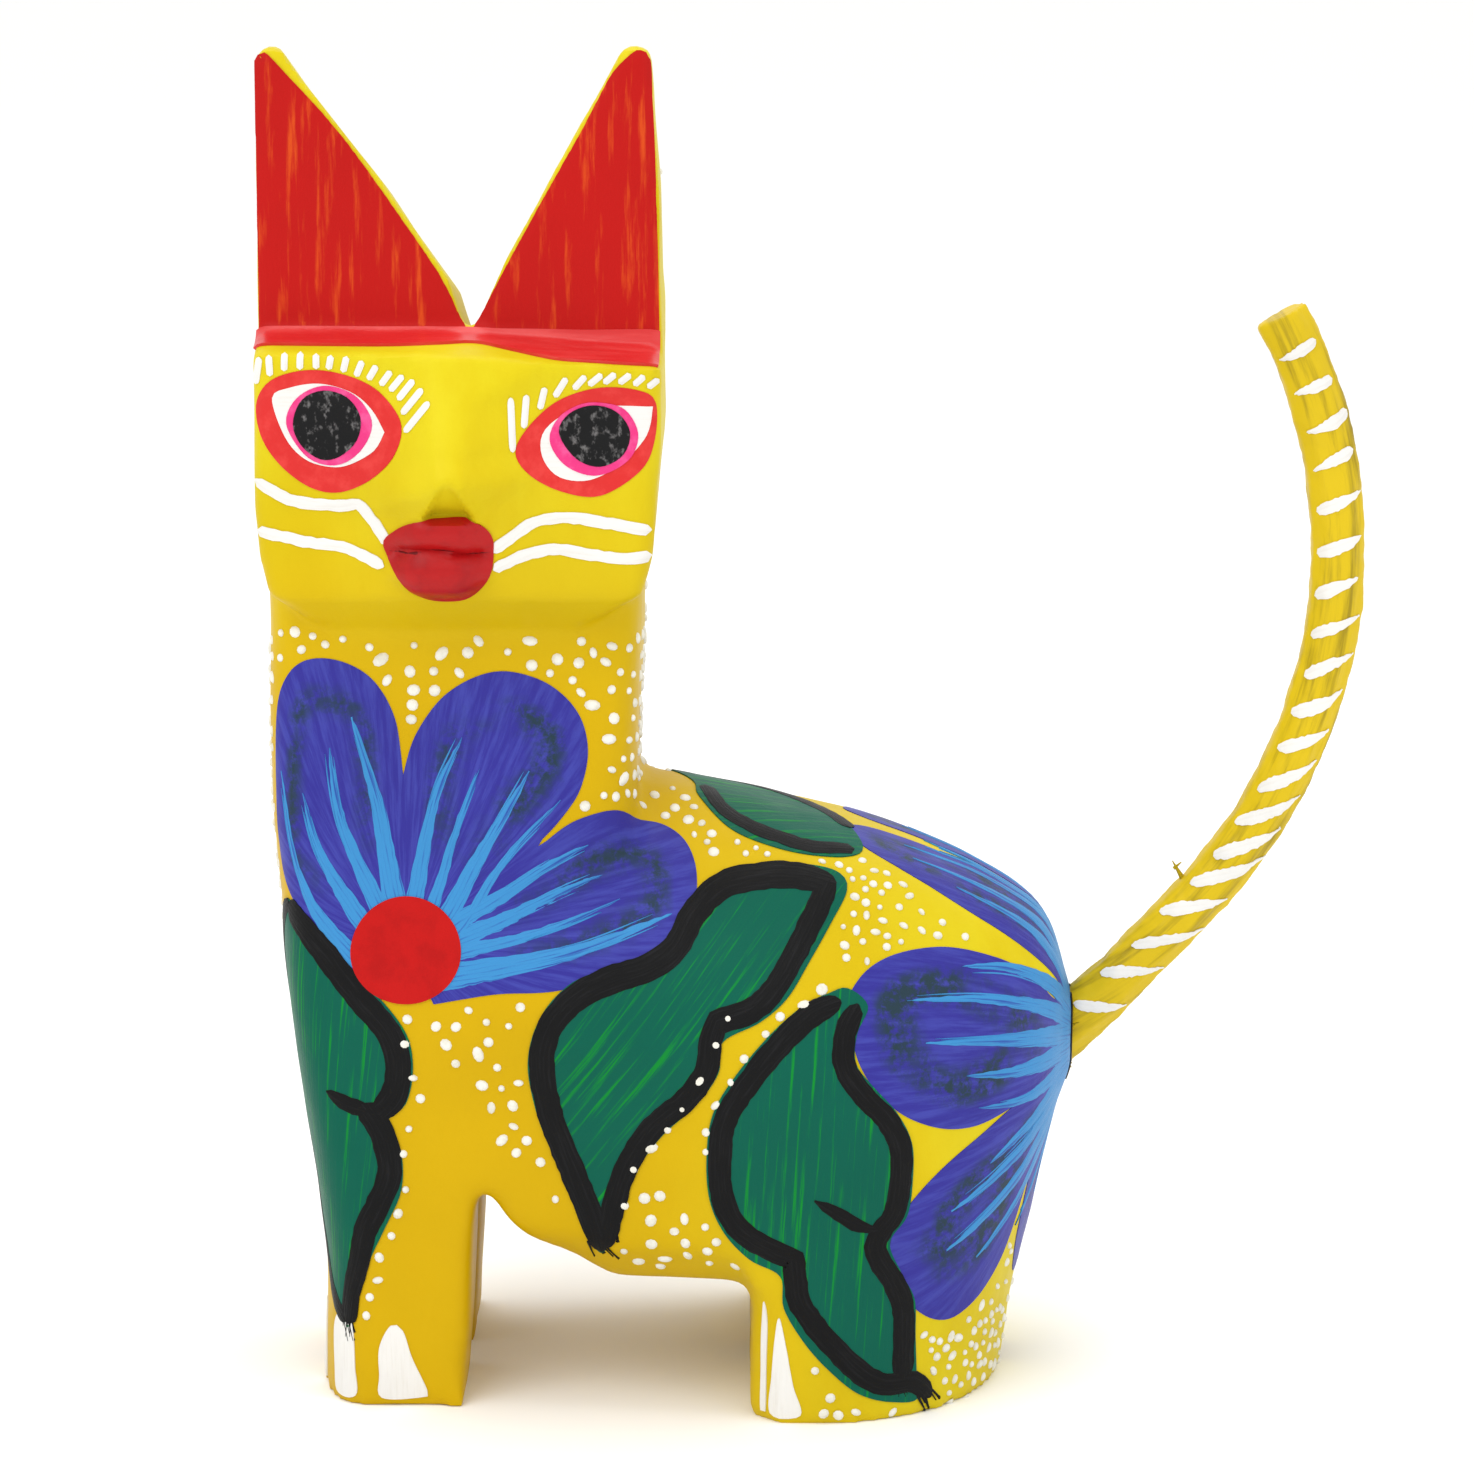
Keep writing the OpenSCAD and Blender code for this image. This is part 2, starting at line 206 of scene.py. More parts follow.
class PaintShop:
    """Mixes each finish's material once and hands it out.

    Attributes:
        drift: how often the tone drifts, per metre.
        patches: how often the gloss changes, per metre.
        grain: how often the fine grain comes, per metre.
        painted_shade_heights: between which heights the darker lower colour, painted shade, comes in, in
            metres.
        painted_shade_lengths: between which places along the cat it comes in, in metres.
    """

    drift = 45.0
    patches = 260.0
    grain = 900.0
    painted_shade_heights = (0.16, 0.10)
    painted_shade_lengths = (0.05, -0.045)

    def __init__(self) -> None:
        """Starts with no material mixed."""
        self.mixed: dict[str, bpy.types.Material] = {}

    def material(self, finish: Finish) -> bpy.types.Material:
        """Returns the material for a finish, mixing it the first time."""
        if finish.name not in self.mixed:
            self.mixed[finish.name] = self.mix(finish)
        return self.mixed[finish.name]

    def mix(self, finish: Finish) -> bpy.types.Material:
        """Builds a finish's shader: two tones of paint, brush marks, tone drift and relief.

        Args:
            finish: the paint to mix.

        Returns:
            The new material.
        """
        material = bpy.data.materials.new(finish.name.replace(" ", "_"))
        material.use_nodes = True
        self.nodes = material.node_tree.nodes
        self.links = material.node_tree.links
        shader = self.nodes["Principled BSDF"]
        shader.inputs["Specular IOR Level"].default_value = finish.sheen
        place = self.nodes.new("ShaderNodeTexCoord").outputs["Object"]
        run = place
        if finish.follows is Marks.STROKE:
            run = self.nodes.new("ShaderNodeUVMap")
            run.uv_map = BRUSH
            run = run.outputs["UV"]
        mapping = self.nodes.new("ShaderNodeMapping")
        mapping.inputs["Scale"].default_value = finish.marks
        self.links.new(run, mapping.inputs["Vector"])
        marks = self.noise(mapping.outputs["Vector"], 1.0, 5.0, 0.62)
        edge = 0.5 + 0.22 * (0.5 - finish.share) * 2
        half = 0.02 + 0.16 * (1 - finish.sharp)
        mask = self.ramp(marks, edge - half, edge + half)
        colour = self.blend(mask, linear(finish.coat), linear(finish.drag))
        # The darker low colour is painted shade: it comes in lower down and towards the chest.
        if finish.low:
            split = self.nodes.new("ShaderNodeSeparateXYZ")
            self.links.new(place, split.inputs["Vector"])
            share = self.math("MULTIPLY", self.ramp(split.outputs["Z"], *self.painted_shade_heights),
                              self.ramp(split.outputs["X"], *self.painted_shade_lengths))
            colour = self.blend(share, colour, linear(finish.low))
        drift = self.ramp(self.noise(place, self.drift, 2.0, 0.5), 0.3, 0.7)
        colour = self.blend(drift, colour, self.shade(colour, 0.93))
        if finish.smudge:
            colour = self.scrub(colour, finish.smudge, place)
        self.links.new(colour, shader.inputs["Base Color"])
        rough = self.nodes.new("ShaderNodeMapRange")
        rough.inputs["To Min"].default_value = finish.gloss - 0.07
        rough.inputs["To Max"].default_value = finish.gloss + 0.12
        self.links.new(self.noise(place, self.patches, 3.0, 0.6), rough.inputs["Value"])
        self.links.new(rough.outputs["Result"], shader.inputs["Roughness"])
        grain = self.noise(place, self.grain, 4.0, 0.6)
        bump = self.bump(marks, finish.relief, None)
        bump = self.bump(grain, 0.05, bump)
        self.links.new(bump, shader.inputs["Normal"])
        return material

    def scrub(self, colour: Socket, dark: Colour, place: Socket) -> Socket:
        """Adds a dry dark scrub that runs a few millimetres inside the rim of a petal.

        Args:
            colour: the colour to work on.
            dark: the scrub's colour.
            place: the piece's own coordinates.

        Returns:
            The colour with the scrub on it.
        """
        rim = self.nodes.new("ShaderNodeAttribute")
        rim.attribute_name = SCRUB
        grain = self.ramp(self.noise(place, 420.0, 5.0, 0.75), 0.36, 0.58)
        cloud = self.ramp(self.noise(place, 90.0, 2.0, 0.5), 0.28, 0.52)
        share = self.math("MULTIPLY", rim.outputs["Fac"], grain)
        share = self.math("MULTIPLY", share, cloud)
        return self.blend(share, colour, linear(dark))

    def noise(self, vector: Socket, scale: float, detail: float, rough: float) -> Socket:
        """Returns a noise pattern over a vector."""
        node = self.nodes.new("ShaderNodeTexNoise")
        node.inputs["Scale"].default_value = scale
        node.inputs["Detail"].default_value = detail
        node.inputs["Roughness"].default_value = rough
        self.links.new(vector, node.inputs["Vector"])
        return node.outputs["Fac"]

    def ramp(self, value: Socket, low: float, high: float) -> Socket:
        """Returns value stretched so that low becomes 0 and high becomes 1."""
        node = self.nodes.new("ShaderNodeMapRange")
        node.interpolation_type = "SMOOTHSTEP"
        node.inputs["From Min"].default_value = low
        node.inputs["From Max"].default_value = high
        self.links.new(value, node.inputs["Value"])
        return node.outputs["Result"]

    def math(self, kind: str, first: Socket, second: Socket) -> Socket:
        """Returns the result of a two-value maths node."""
        node = self.nodes.new("ShaderNodeMath")
        node.operation = kind
        self.links.new(first, node.inputs[0])
        self.links.new(second, node.inputs[1])
        return node.outputs[0]

    def shade(self, colour: Socket, value: float) -> Socket:
        """Returns a colour made darker by value."""
        node = self.nodes.new("ShaderNodeHueSaturation")
        node.inputs["Value"].default_value = value
        self.links.new(colour, node.inputs["Color"])
        return node.outputs["Color"]

    def blend(self, share: Socket, first: object, second: object) -> Socket:
        """Returns first turning into second as share goes from 0 to 1."""
        node = self.nodes.new("ShaderNodeMix")
        node.data_type = "RGBA"
        self.links.new(share, node.inputs["Factor"])
        for name, colour in (("A", first), ("B", second)):
            socket = [s for s in node.inputs if s.name == name and s.type == "RGBA"][0]
            if isinstance(colour, tuple):
                socket.default_value = colour
            else:
                self.links.new(colour, socket)
        return [s for s in node.outputs if s.type == "RGBA"][0]

    def bump(self, height: Socket, relief: float, under: Optional[Socket]) -> Socket:
        """Returns a normal raised by height times relief, in millimetres, on top of another normal."""
        node = self.nodes.new("ShaderNodeBump")
        node.inputs["Distance"].default_value = relief * MM
        self.links.new(height, node.inputs["Height"])
        if under:
            self.links.new(under, node.inputs["Normal"])
        return node.outputs["Normal"]


ORIGIN_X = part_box("carved_body")[0].x
SOCKET = (122, 0, 52)


def place(x: float, y: float, z: float) -> Vector:
    """Returns a point given in the cat's millimetres, in metres of the frame."""
    return Vector((ORIGIN_X + x * MM, y * MM, z * MM))


def measure(point: Vector) -> tuple[float, float, float]:
    """Returns a point of the frame in the cat's millimetres."""
    return (point.x - ORIGIN_X) / MM, point.y / MM, point.z / MM


def closed_curve(points: Sequence[Point], spacing: float = 0.8) -> list[Point]:
    """Draws a smooth closed line through points. A point given twice in a row is a sharp corner.

    Args:
        points: the points that the line goes through, in millimetres.
        spacing: about how far apart the drawn points are.

    Returns:
        The drawn points, turning anticlockwise.
    """
    drawn = smooth_run(points, spacing, closed=True)
    area = sum(a[0] * b[1] - b[0] * a[1] for a, b in zip(drawn, drawn[1:] + drawn[:1]))
    return drawn if area > 0 else drawn[::-1]


def smooth_run(points: Sequence[Point], spacing: float, closed: bool = False) -> list[Point]:
    """Draws a smooth line through points, closed on itself or open."""
    count = len(points)
    drawn: list[Point] = []
    for i in range(count if closed else count - 1):
        places = [(i + k) % count if closed else min(max(i + k, 0), count - 1) for k in (-1, 0, 1, 2)]
        quad = [points[place] for place in places]
        span = math.dist(quad[1], quad[2])
        steps = max(1, round(span / spacing)) if span > 0 else 0
        for step in range(steps):
            drawn.append(catmull(quad, step / steps))
    return drawn if closed else drawn + [points[-1]]


def catmull(quad: Sequence[Point], t: float) -> Point:
    """Returns the point at t on the smooth curve from the second to the third of four points."""
    p0, p1, p2, p3 = quad
    shares = (-0.5 * t + t * t - 0.5 * t ** 3, 1 - 2.5 * t * t + 1.5 * t ** 3,
              0.5 * t + 2 * t * t - 1.5 * t ** 3, -0.5 * t * t + 0.5 * t ** 3)
    return tuple(sum(s * p[axis] for s, p in zip(shares, (p0, p1, p2, p3))) for axis in (0, 1))


def inside(point: Point, outline: Sequence[Point]) -> bool:
    """Says whether a point lies inside a closed outline."""
    x, y = point
    crossings = 0
    for (x1, y1), (x2, y2) in zip(outline, [*outline[1:], outline[0]]):
        if (y1 > y) != (y2 > y) and x < (x2 - x1) * (y - y1) / (y2 - y1) + x1:
            crossings += 1
    return crossings % 2 == 1


@dataclass(frozen=True)
class Chart:
    """A flat chart held against the block: right and up span it, and its lines run straight into the wood."""

    right: tuple[float, float, float] = (1, 0, 0)
    up: tuple[float, float, float] = (0, 0, 1)
    side: Side = Side.NEAR

    def aim(self, u: float, v: float) -> tuple[Vector, Vector]:
        """Returns the point that a line aims at, in millimetres, and its outward direction."""
        right, up = Vector(self.right), Vector(self.up)
        return right * u + up * v, right.cross(up)

    def line(self, u: float, v: float) -> tuple[Vector, Vector]:
        """Returns where a line into the wood starts, in metres, and its direction."""
        target, out = self.aim(u, v)
        start = target + out * FAR
        way = Vector((-out.x, -out.y * self.side.value, -out.z))
        return place(start.x, start.y * self.side.value, start.z), way


@dataclass(frozen=True)
class PostChart(Chart):
    """The neck and forelegs unrolled: u runs round the squared post, v is the height."""

    centre_x: float = 28
    half: float = 27

    def aim(self, u: float, v: float) -> tuple[Vector, Vector]:
        """Returns the point that a line aims at, in millimetres, and its outward direction."""
        turns = round(u / self.half / 2)
        x, y = u / self.half - 2 * turns, -1.0
        for _ in range(turns % 4):
            x, y = -y, x
        return Vector((self.centre_x, 0, v)), Vector((x, y, 0)).normalized()


@dataclass(frozen=True)
class BarrelChart(Chart):
    """The trunk unrolled: u runs along it, v goes up the flank and over the back."""

    axis_z: float = 50
    radius: float = 33

    def aim(self, u: float, v: float) -> tuple[Vector, Vector]:
        """Returns the point that a line aims at, in millimetres, and its outward direction."""
        turn = max(0.0, v / self.radius)
        return Vector((u, 0, self.axis_z + min(v, 0.0))), Vector((0, -math.cos(turn), math.sin(turn)))


@dataclass(frozen=True)
class RumpChart(Chart):
    """The haunches unrolled round the tail: u and v are distances from the tail, v towards the back."""

    centre: tuple[float, float, float] = (84, 0, SOCKET[2])
    radius: float = 37

    def aim(self, u: float, v: float) -> tuple[Vector, Vector]:
        """Returns the point that a line aims at, in millimetres, and its outward direction."""
        fall = math.hypot(u, v) / self.radius
        turn = math.atan2(u, v)
        out = Vector((math.cos(fall), -math.sin(fall) * math.sin(turn), math.sin(fall) * math.cos(turn)))
        return Vector(self.centre), out


@dataclass(frozen=True)
class TwigChart(Chart):
    """The tail unrolled: u runs up it from the end of its straight butt, v goes round it from its side."""

    centre: tuple[float, float] = (83.4, 126.6)
    bend: float = 79.5
    thickness: float = 8.0
    rise: float = 47.0

    def slope(self, u: float) -> float:
        """Returns the angle on the bend at u, in radians."""
        return math.radians(self.rise - 90) + max(0.0, u) / self.bend

    def aim(self, u: float, v: float) -> tuple[Vector, Vector]:
        """Returns the point that a line aims at, in millimetres, and its outward direction."""
        slope, turn = self.slope(u), 2 * v / self.thickness
        away = Vector((math.cos(slope), 0, math.sin(slope)))
        along = Vector((-away.z, 0, away.x))
        core = Vector((self.centre[0], 0, self.centre[1])) + away * self.bend + along * min(0.0, u)
        return core, away * math.sin(turn) + Vector((0, -math.cos(turn), 0))


FACE_CHART = Chart()
TILT = math.sin(math.radians(45))
BROW_CHART = Chart(up=(0, TILT, TILT))
SHOULDER_UP = (0, 0.5, 0.866)


class Skin:
    """The bare wood's surface, which can be felt along a line."""

    def __init__(self, obj: Piece) -> None:
        """Takes the surface of a finished mesh, in metres."""
        mesh = obj.data
        points = [v.co.copy() for v in mesh.vertices]
        self.faces = [tuple(p.vertices) for p in mesh.polygons]
        self.normals = [v.normal.copy() for v in mesh.vertices]
        self.points = points
        self.tree = BVHTree.FromPolygons(points, self.faces)
        self.depth = FAR * MM

    def touch(self, start: Vector, way: Vector) -> tuple[Vector, Vector]:
        """Finds where a line meets the wood, or the nearest wood if it passes by.

        Args:
            start: a point outside the wood.
            way: the line's direction.

        Returns:
            The point on the wood and its smooth outward normal.
        """
        hit, _, face, depth = self.tree.ray_cast(start, way)
        if hit is None:
            hit, _, face, _ = self.tree.find_nearest(start + way * self.depth)
        else:
            self.depth = depth
        normal = Vector()
        for index in self.faces[face]:
            normal += self.normals[index] / ((self.points[index] - hit).length + 1e-5)
        return hit, normal.normalized()


class Painter:
    """Lays strokes, filled shapes and dots on one body's wood.

    Attributes:
        sink: how far a coat reaches into the wood, in millimetres, so that it has no open edge.
        ray_spread: how far apart marks that radiate from a centre run, in millimetres per radian.
        scrub_start: how far from a flower's heart its petals' scrub begins, in millimetres.
    """

    sink = 0.25
    ray_spread = 18.0
    scrub_start = 14

    def __init__(self, skin: Skin, shop: PaintShop, body: Body) -> None:
        """Holds the wood, the paints and the body that new pieces ride on."""
        self.skin = skin
        self.shop = shop
        self.body = body
        self.covered: list[Vector] = []

    def patch(self, name: str, outline: Sequence[Point], chart: Chart, lift: float, finish: Finish,
              step: float = 1.3, centre: Optional[Point] = None, grain: float = 0.0,
              scrub: Optional[tuple[float, float]] = None) -> Piece:
        """Fills an outline with paint.

        Args:
            name: the piece's name.
            outline: points that the edge goes through, in the chart's millimetres.
            chart: how the outline is laid on the wood.
            lift: how high the coat stands, in millimetres.
            finish: its paint.
            step: size of the mesh's cells.
            centre: where brush marks radiate from, or None for straight marks.
            grain: the angle of straight brush marks, in degrees from the chart's right.
            scrub: from how far to how far inside the rim a dry scrub runs, in millimetres.

        Returns:
            The finished piece.
        """
        edge = closed_curve(outline)
        piece = self.fill(edge, step)
        flat = np.array([v.co[:2] for v in piece.data.vertices]) / MM
        if centre:
            away = flat - np.array(centre)
            reach = np.hypot(away[:, 0], away[:, 1])
            marks = np.stack([reach, np.arctan2(away[:, 1], away[:, 0]) * self.ray_spread], axis=1)
        else:
            turn = math.radians(grain)
            marks = flat @ np.array([[math.cos(turn), -math.sin(turn)], [math.sin(turn), math.cos(turn)]])
        if scrub:
            amount = self.rim_share(flat, np.array(edge), scrub)
            amount *= np.clip((reach - self.scrub_start) / 10, 0, 1) if centre else 1
            layer = piece.data.attributes.new(SCRUB, "FLOAT", "POINT")
            layer.data.foreach_set("value", amount.astype(np.float32))
        return self.lay(piece, name, flat, marks, np.full(len(flat), lift), chart, finish)

    @staticmethod
    def fill(edge: Sequence[Point], step: float) -> Piece:
        """Models a flat sheet with the given edge and cuts it into cells.

        Args:
            edge: the sheet's edge, in millimetres.
            step: size of the cells.

        Returns:
            The sheet, in metres.
        """
        bpy.ops.object.select_all(action="DESELECT")
        bpy.ops.mesh.primitive_circle_add(vertices=len(edge), radius=MM, fill_type="NGON")
        sheet = bpy.context.object
        for vertex, (u, v) in zip(sheet.data.vertices, edge):
            vertex.co = (u * MM, v * MM, 0)
        bpy.ops.object.mode_set(mode="EDIT")
        for axis in (0, 1):
            low, high = min(p[axis] for p in edge), max(p[axis] for p in edge)
            cuts = int((high - low) / step)
            for k in range(cuts):
                at = [0.0, 0.0, 0.0]
                way = [0.0, 0.0, 0.0]
                at[axis] = (low + (k + 0.5) * (high - low) / cuts) * MM
                way[axis] = 1.0
                bpy.ops.mesh.select_all(action="SELECT")
                bpy.ops.mesh.bisect(plane_co=at, plane_no=way)
        bpy.ops.object.mode_set(mode="OBJECT")
        return sheet

    @staticmethod
    def rim_share(flat: np.ndarray, ring: np.ndarray, scrub: tuple[float, float]) -> np.ndarray:
        """Returns how much scrub each vertex gets by its distance from the rim."""
        rim = np.sqrt(((flat[:, None, :] - ring[None, :, :]) ** 2).sum(2)).min(1)
        near, far = scrub
        return np.clip((rim - near) / 1.5, 0, 1) * np.clip((far - rim) / 2.5, 0, 1)

    def stroke(self, name: str, path: Sequence[Point], width: float, taper: Taper, chart: Chart, lift: float,
               finish: Finish, spacing: float = 1.2, wobble: float = 0.0, seed: int = 0,
               across: int = 4) -> Piece:
        """Draws one brush stroke along a path.

        Args:
            name: the piece's name.
            path: points that the stroke goes through, in the chart's millimetres.
            width: its full width.
            taper: how the width changes along it.
            chart: how it is laid on the wood.
            lift: how high its middle stands, in millimetres.
            finish: its paint.
            spacing: length of the mesh's cells.
            wobble: how uneven its edges are, in millimetres.
            seed: seed of that unevenness.
            across: cells across the stroke.

        Returns:
            The finished piece.
        """
        line = np.array(smooth_run(path, spacing))
        rows, columns = len(line), across + 1
        bpy.ops.object.select_all(action="DESELECT")
        bpy.ops.mesh.primitive_grid_add(x_subdivisions=across, y_subdivisions=rows - 1, size=MM)
        piece = bpy.context.object
        along = np.concatenate([[0], np.cumsum(np.hypot(*np.diff(line, axis=0).T))])
        way = np.gradient(line, axis=0)
        way /= np.maximum(np.hypot(way[:, 0], way[:, 1]), 1e-9)[:, None]
        left = np.stack([-way[:, 1], way[:, 0]], axis=1)
        draw = random.Random(seed)
        flat, marks, lifts = [], [], []
        for row in range(rows):
            half = 0.5 * width * taper.width(row / (rows - 1))
            edges = [half + draw.uniform(-wobble, wobble) for _ in (0, 1)]
            for column in range(columns):
                across_share = 1 - 2 * column / (columns - 1)
                reach = edges[0] if across_share > 0 else edges[1]
                flat.append(line[row] + left[row] * across_share * max(0.03, reach))
                marks.append((along[row], across_share * half))
                lifts.append(lift - 0.08 * across_share ** 2)
        return self.lay(piece, name, np.array(flat), np.array(marks), np.array(lifts), chart, finish)

    def lay(self, piece: Piece, name: str, flat: np.ndarray, marks: np.ndarray, lifts: np.ndarray,
            chart: Chart, finish: Finish) -> Piece:
        """Lays a flat mesh on the wood, gives it a thickness and dresses it.

        Args:
            piece: the flat mesh.
            name: the piece's name.
            flat: where each vertex is on the chart, in millimetres.
            marks: each vertex's place in the run of the brush, in millimetres.
            lifts: how high each vertex stands off the wood, in millimetres.
            chart: how it is laid on the wood.
            finish: its paint.

        Returns:
            The finished piece.
        """
        outward = []
        for vertex, (u, v), lift in zip(piece.data.vertices, flat, lifts):
            point, normal = self.skin.touch(*chart.line(float(u), float(v)))
            vertex.co = point + normal * float(lift) * MM
            outward.append(normal)
            self.covered.append(point)
        lay_marks(piece, marks)
        piece.data.update()
        facing = sum(face.normal.dot(outward[face.vertices[0]]) for face in piece.data.polygons)
        if facing < 0:
            piece.data.flip_normals()
        wall = piece.modifiers.new("wall", "SOLIDIFY")
        wall.thickness = (float(lifts.mean()) + self.sink) * MM
        wall.offset = -1
        bpy.ops.object.modifier_apply(modifier=wall.name)
        return self.dress(piece, name, finish)

    def dress(self, piece: Piece, name: str, finish: Finish) -> Piece:
        """Names a piece, paints it, smooths it and sets it on its body."""
        piece.name = name
        piece.data.name = name
        piece.data.materials.clear()
        piece.data.materials.append(self.shop.material(finish))
        bpy.ops.object.select_all(action="DESELECT")
        piece.select_set(True)
        bpy.context.view_layer.objects.active = piece
        bpy.ops.object.shade_smooth_by_angle(angle=math.radians(40))
        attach(piece, self.body.value)
        return piece

    def join(self, name: str, pieces: Sequence[Piece]) -> Piece:
        """Joins strokes of one paint into one piece and returns it."""
        bpy.ops.object.select_all(action="DESELECT")
        for piece in pieces:
            piece.select_set(True)
        bpy.context.view_layer.objects.active = pieces[0]
        if len(pieces) > 1:
            bpy.ops.object.join()
        pieces[0].name = name
        pieces[0].data.name = name
        LOG.info("%s: %d faces", name, len(pieces[0].data.polygons))
        return pieces[0]


@dataclass
class DotWork:
    """White dots, each one touch of a brush's handle.

    Attributes:
        painter: holds the wood that the dots go on.
        radius: a dot's usual radius, in millimetres.
        height: how high a dot stands.
        row_gap: least distance between two dots of a row.
        seed: seed of their places and sizes.
        spots: each dot's place, outward direction, size, stretch and turn.
    """

    painter: Painter
    radius: float = 0.7
    height: float = 0.42
    row_gap: float = 1.6
    seed: int = 7
    spots: list[tuple[Vector, Vector, float, float, float]] = field(default_factory=list)

    def start(self) -> None:
        """Notes what is painted already, so that the dots keep off it."""
        self.draw = random.Random(self.seed)
        self.paint = KDTree(len(self.painter.covered))
        for index, point in enumerate(self.painter.covered):
            self.paint.insert(point, index)
        self.paint.balance()
        self.placed: list[Vector] = []

    def put(self, chart: Chart, u: float, v: float, gap: float, keep_off: float, size: float = 1.0) -> None:
        """Puts one dot on the wood unless other dots or paint are too near.

        Args:
            chart: the chart it is given on.
            u: how far right it is, in millimetres.
            v: how far up it is, in millimetres.
            gap: least distance to another dot.
            keep_off: least distance to painted shapes.
            size: its size as a share of the usual one.
        """
        point, normal = self.painter.skin.touch(*chart.line(u, v))
        if any((point - other).length < gap * MM for other in self.placed):
            return
        if self.paint.find(point)[2] < keep_off * MM:
            return
        size *= self.radius * self.draw.uniform(0.75, 1.3)
        stretch = self.draw.choice((1.0, 1.05, 1.15, 1.5))
        self.placed.append(point)
        self.spots.append((point, normal, size, stretch, self.draw.uniform(0, math.pi)))

    def scatter(self, chart: Chart, zone: Sequence[Point], gap: float, keep_off: float = 1.5,
                size: float = 1.0) -> None:
        """Scatters dots over a zone of a chart, about gap millimetres apart."""
        low = [min(p[axis] for p in zone) for axis in (0, 1)]
        high = [max(p[axis] for p in zone) for axis in (0, 1)]
        tries = int(6 * (high[0] - low[0]) * (high[1] - low[1]) / gap ** 2)
        for _ in range(tries):
            spot = tuple(self.draw.uniform(a, b) for a, b in zip(low, high))
            if inside(spot, zone):
                self.put(chart, *spot, gap * self.draw.choice((0.7, 0.95, 1.1)), keep_off, size)

    def row(self, chart: Chart, path: Sequence[Point], gap: float, stray: float = 0.5) -> None:
        """Sets dots in a row along a path."""
        for u, v in smooth_run(path, gap):
            aside, along = self.draw.uniform(-stray, stray), self.draw.uniform(-stray, stray)
            self.put(chart, u + aside, v + along, self.row_gap, 0.0)

    def finish(self, name: str) -> Piece:
        """Models one dome and sets a copy of it at every spot, as one piece."""
        bpy.ops.object.select_all(action="DESELECT")
        bpy.ops.mesh.primitive_uv_sphere_add(segments=9, ring_count=6, radius=1)
        piece = bpy.context.object
        bpy.ops.object.mode_set(mode="EDIT")
        bpy.ops.mesh.select_all(action="SELECT")
        bpy.ops.mesh.bisect(plane_co=(0, 0, -0.1), plane_no=(0, 0, 1), clear_inner=True, use_fill=True)
        bpy.ops.object.mode_set(mode="OBJECT")
        dome = np.array([v.co[:] for v in piece.data.vertices])
        faces = [list(p.vertices) for p in piece.data.polygons]
        points, polygons = [], []
        for spot, normal, size, stretch, turn in self.spots:
            side = normal.cross(Vector((0.31, 0.55, 0.77))).normalized()
            ahead = normal.cross(side)
            a = side * math.cos(turn) + ahead * math.sin(turn)
            b = normal.cross(a)
            axes = np.array([a * size * stretch, b * size, normal * self.height]) * MM
            polygons += [[index + len(points) * len(dome) for index in face] for face in faces]
            points.append(dome @ axes + np.array(spot))
        piece.data.clear_geometry()
        piece.data.from_pydata(np.concatenate(points).tolist(), [], polygons)
        piece.data.update()
        self.painter.dress(piece, name, DOT_WHITE)
        bpy.ops.object.shade_smooth()
        LOG.info("%s: %d dots", name, len(self.spots))
        return piece


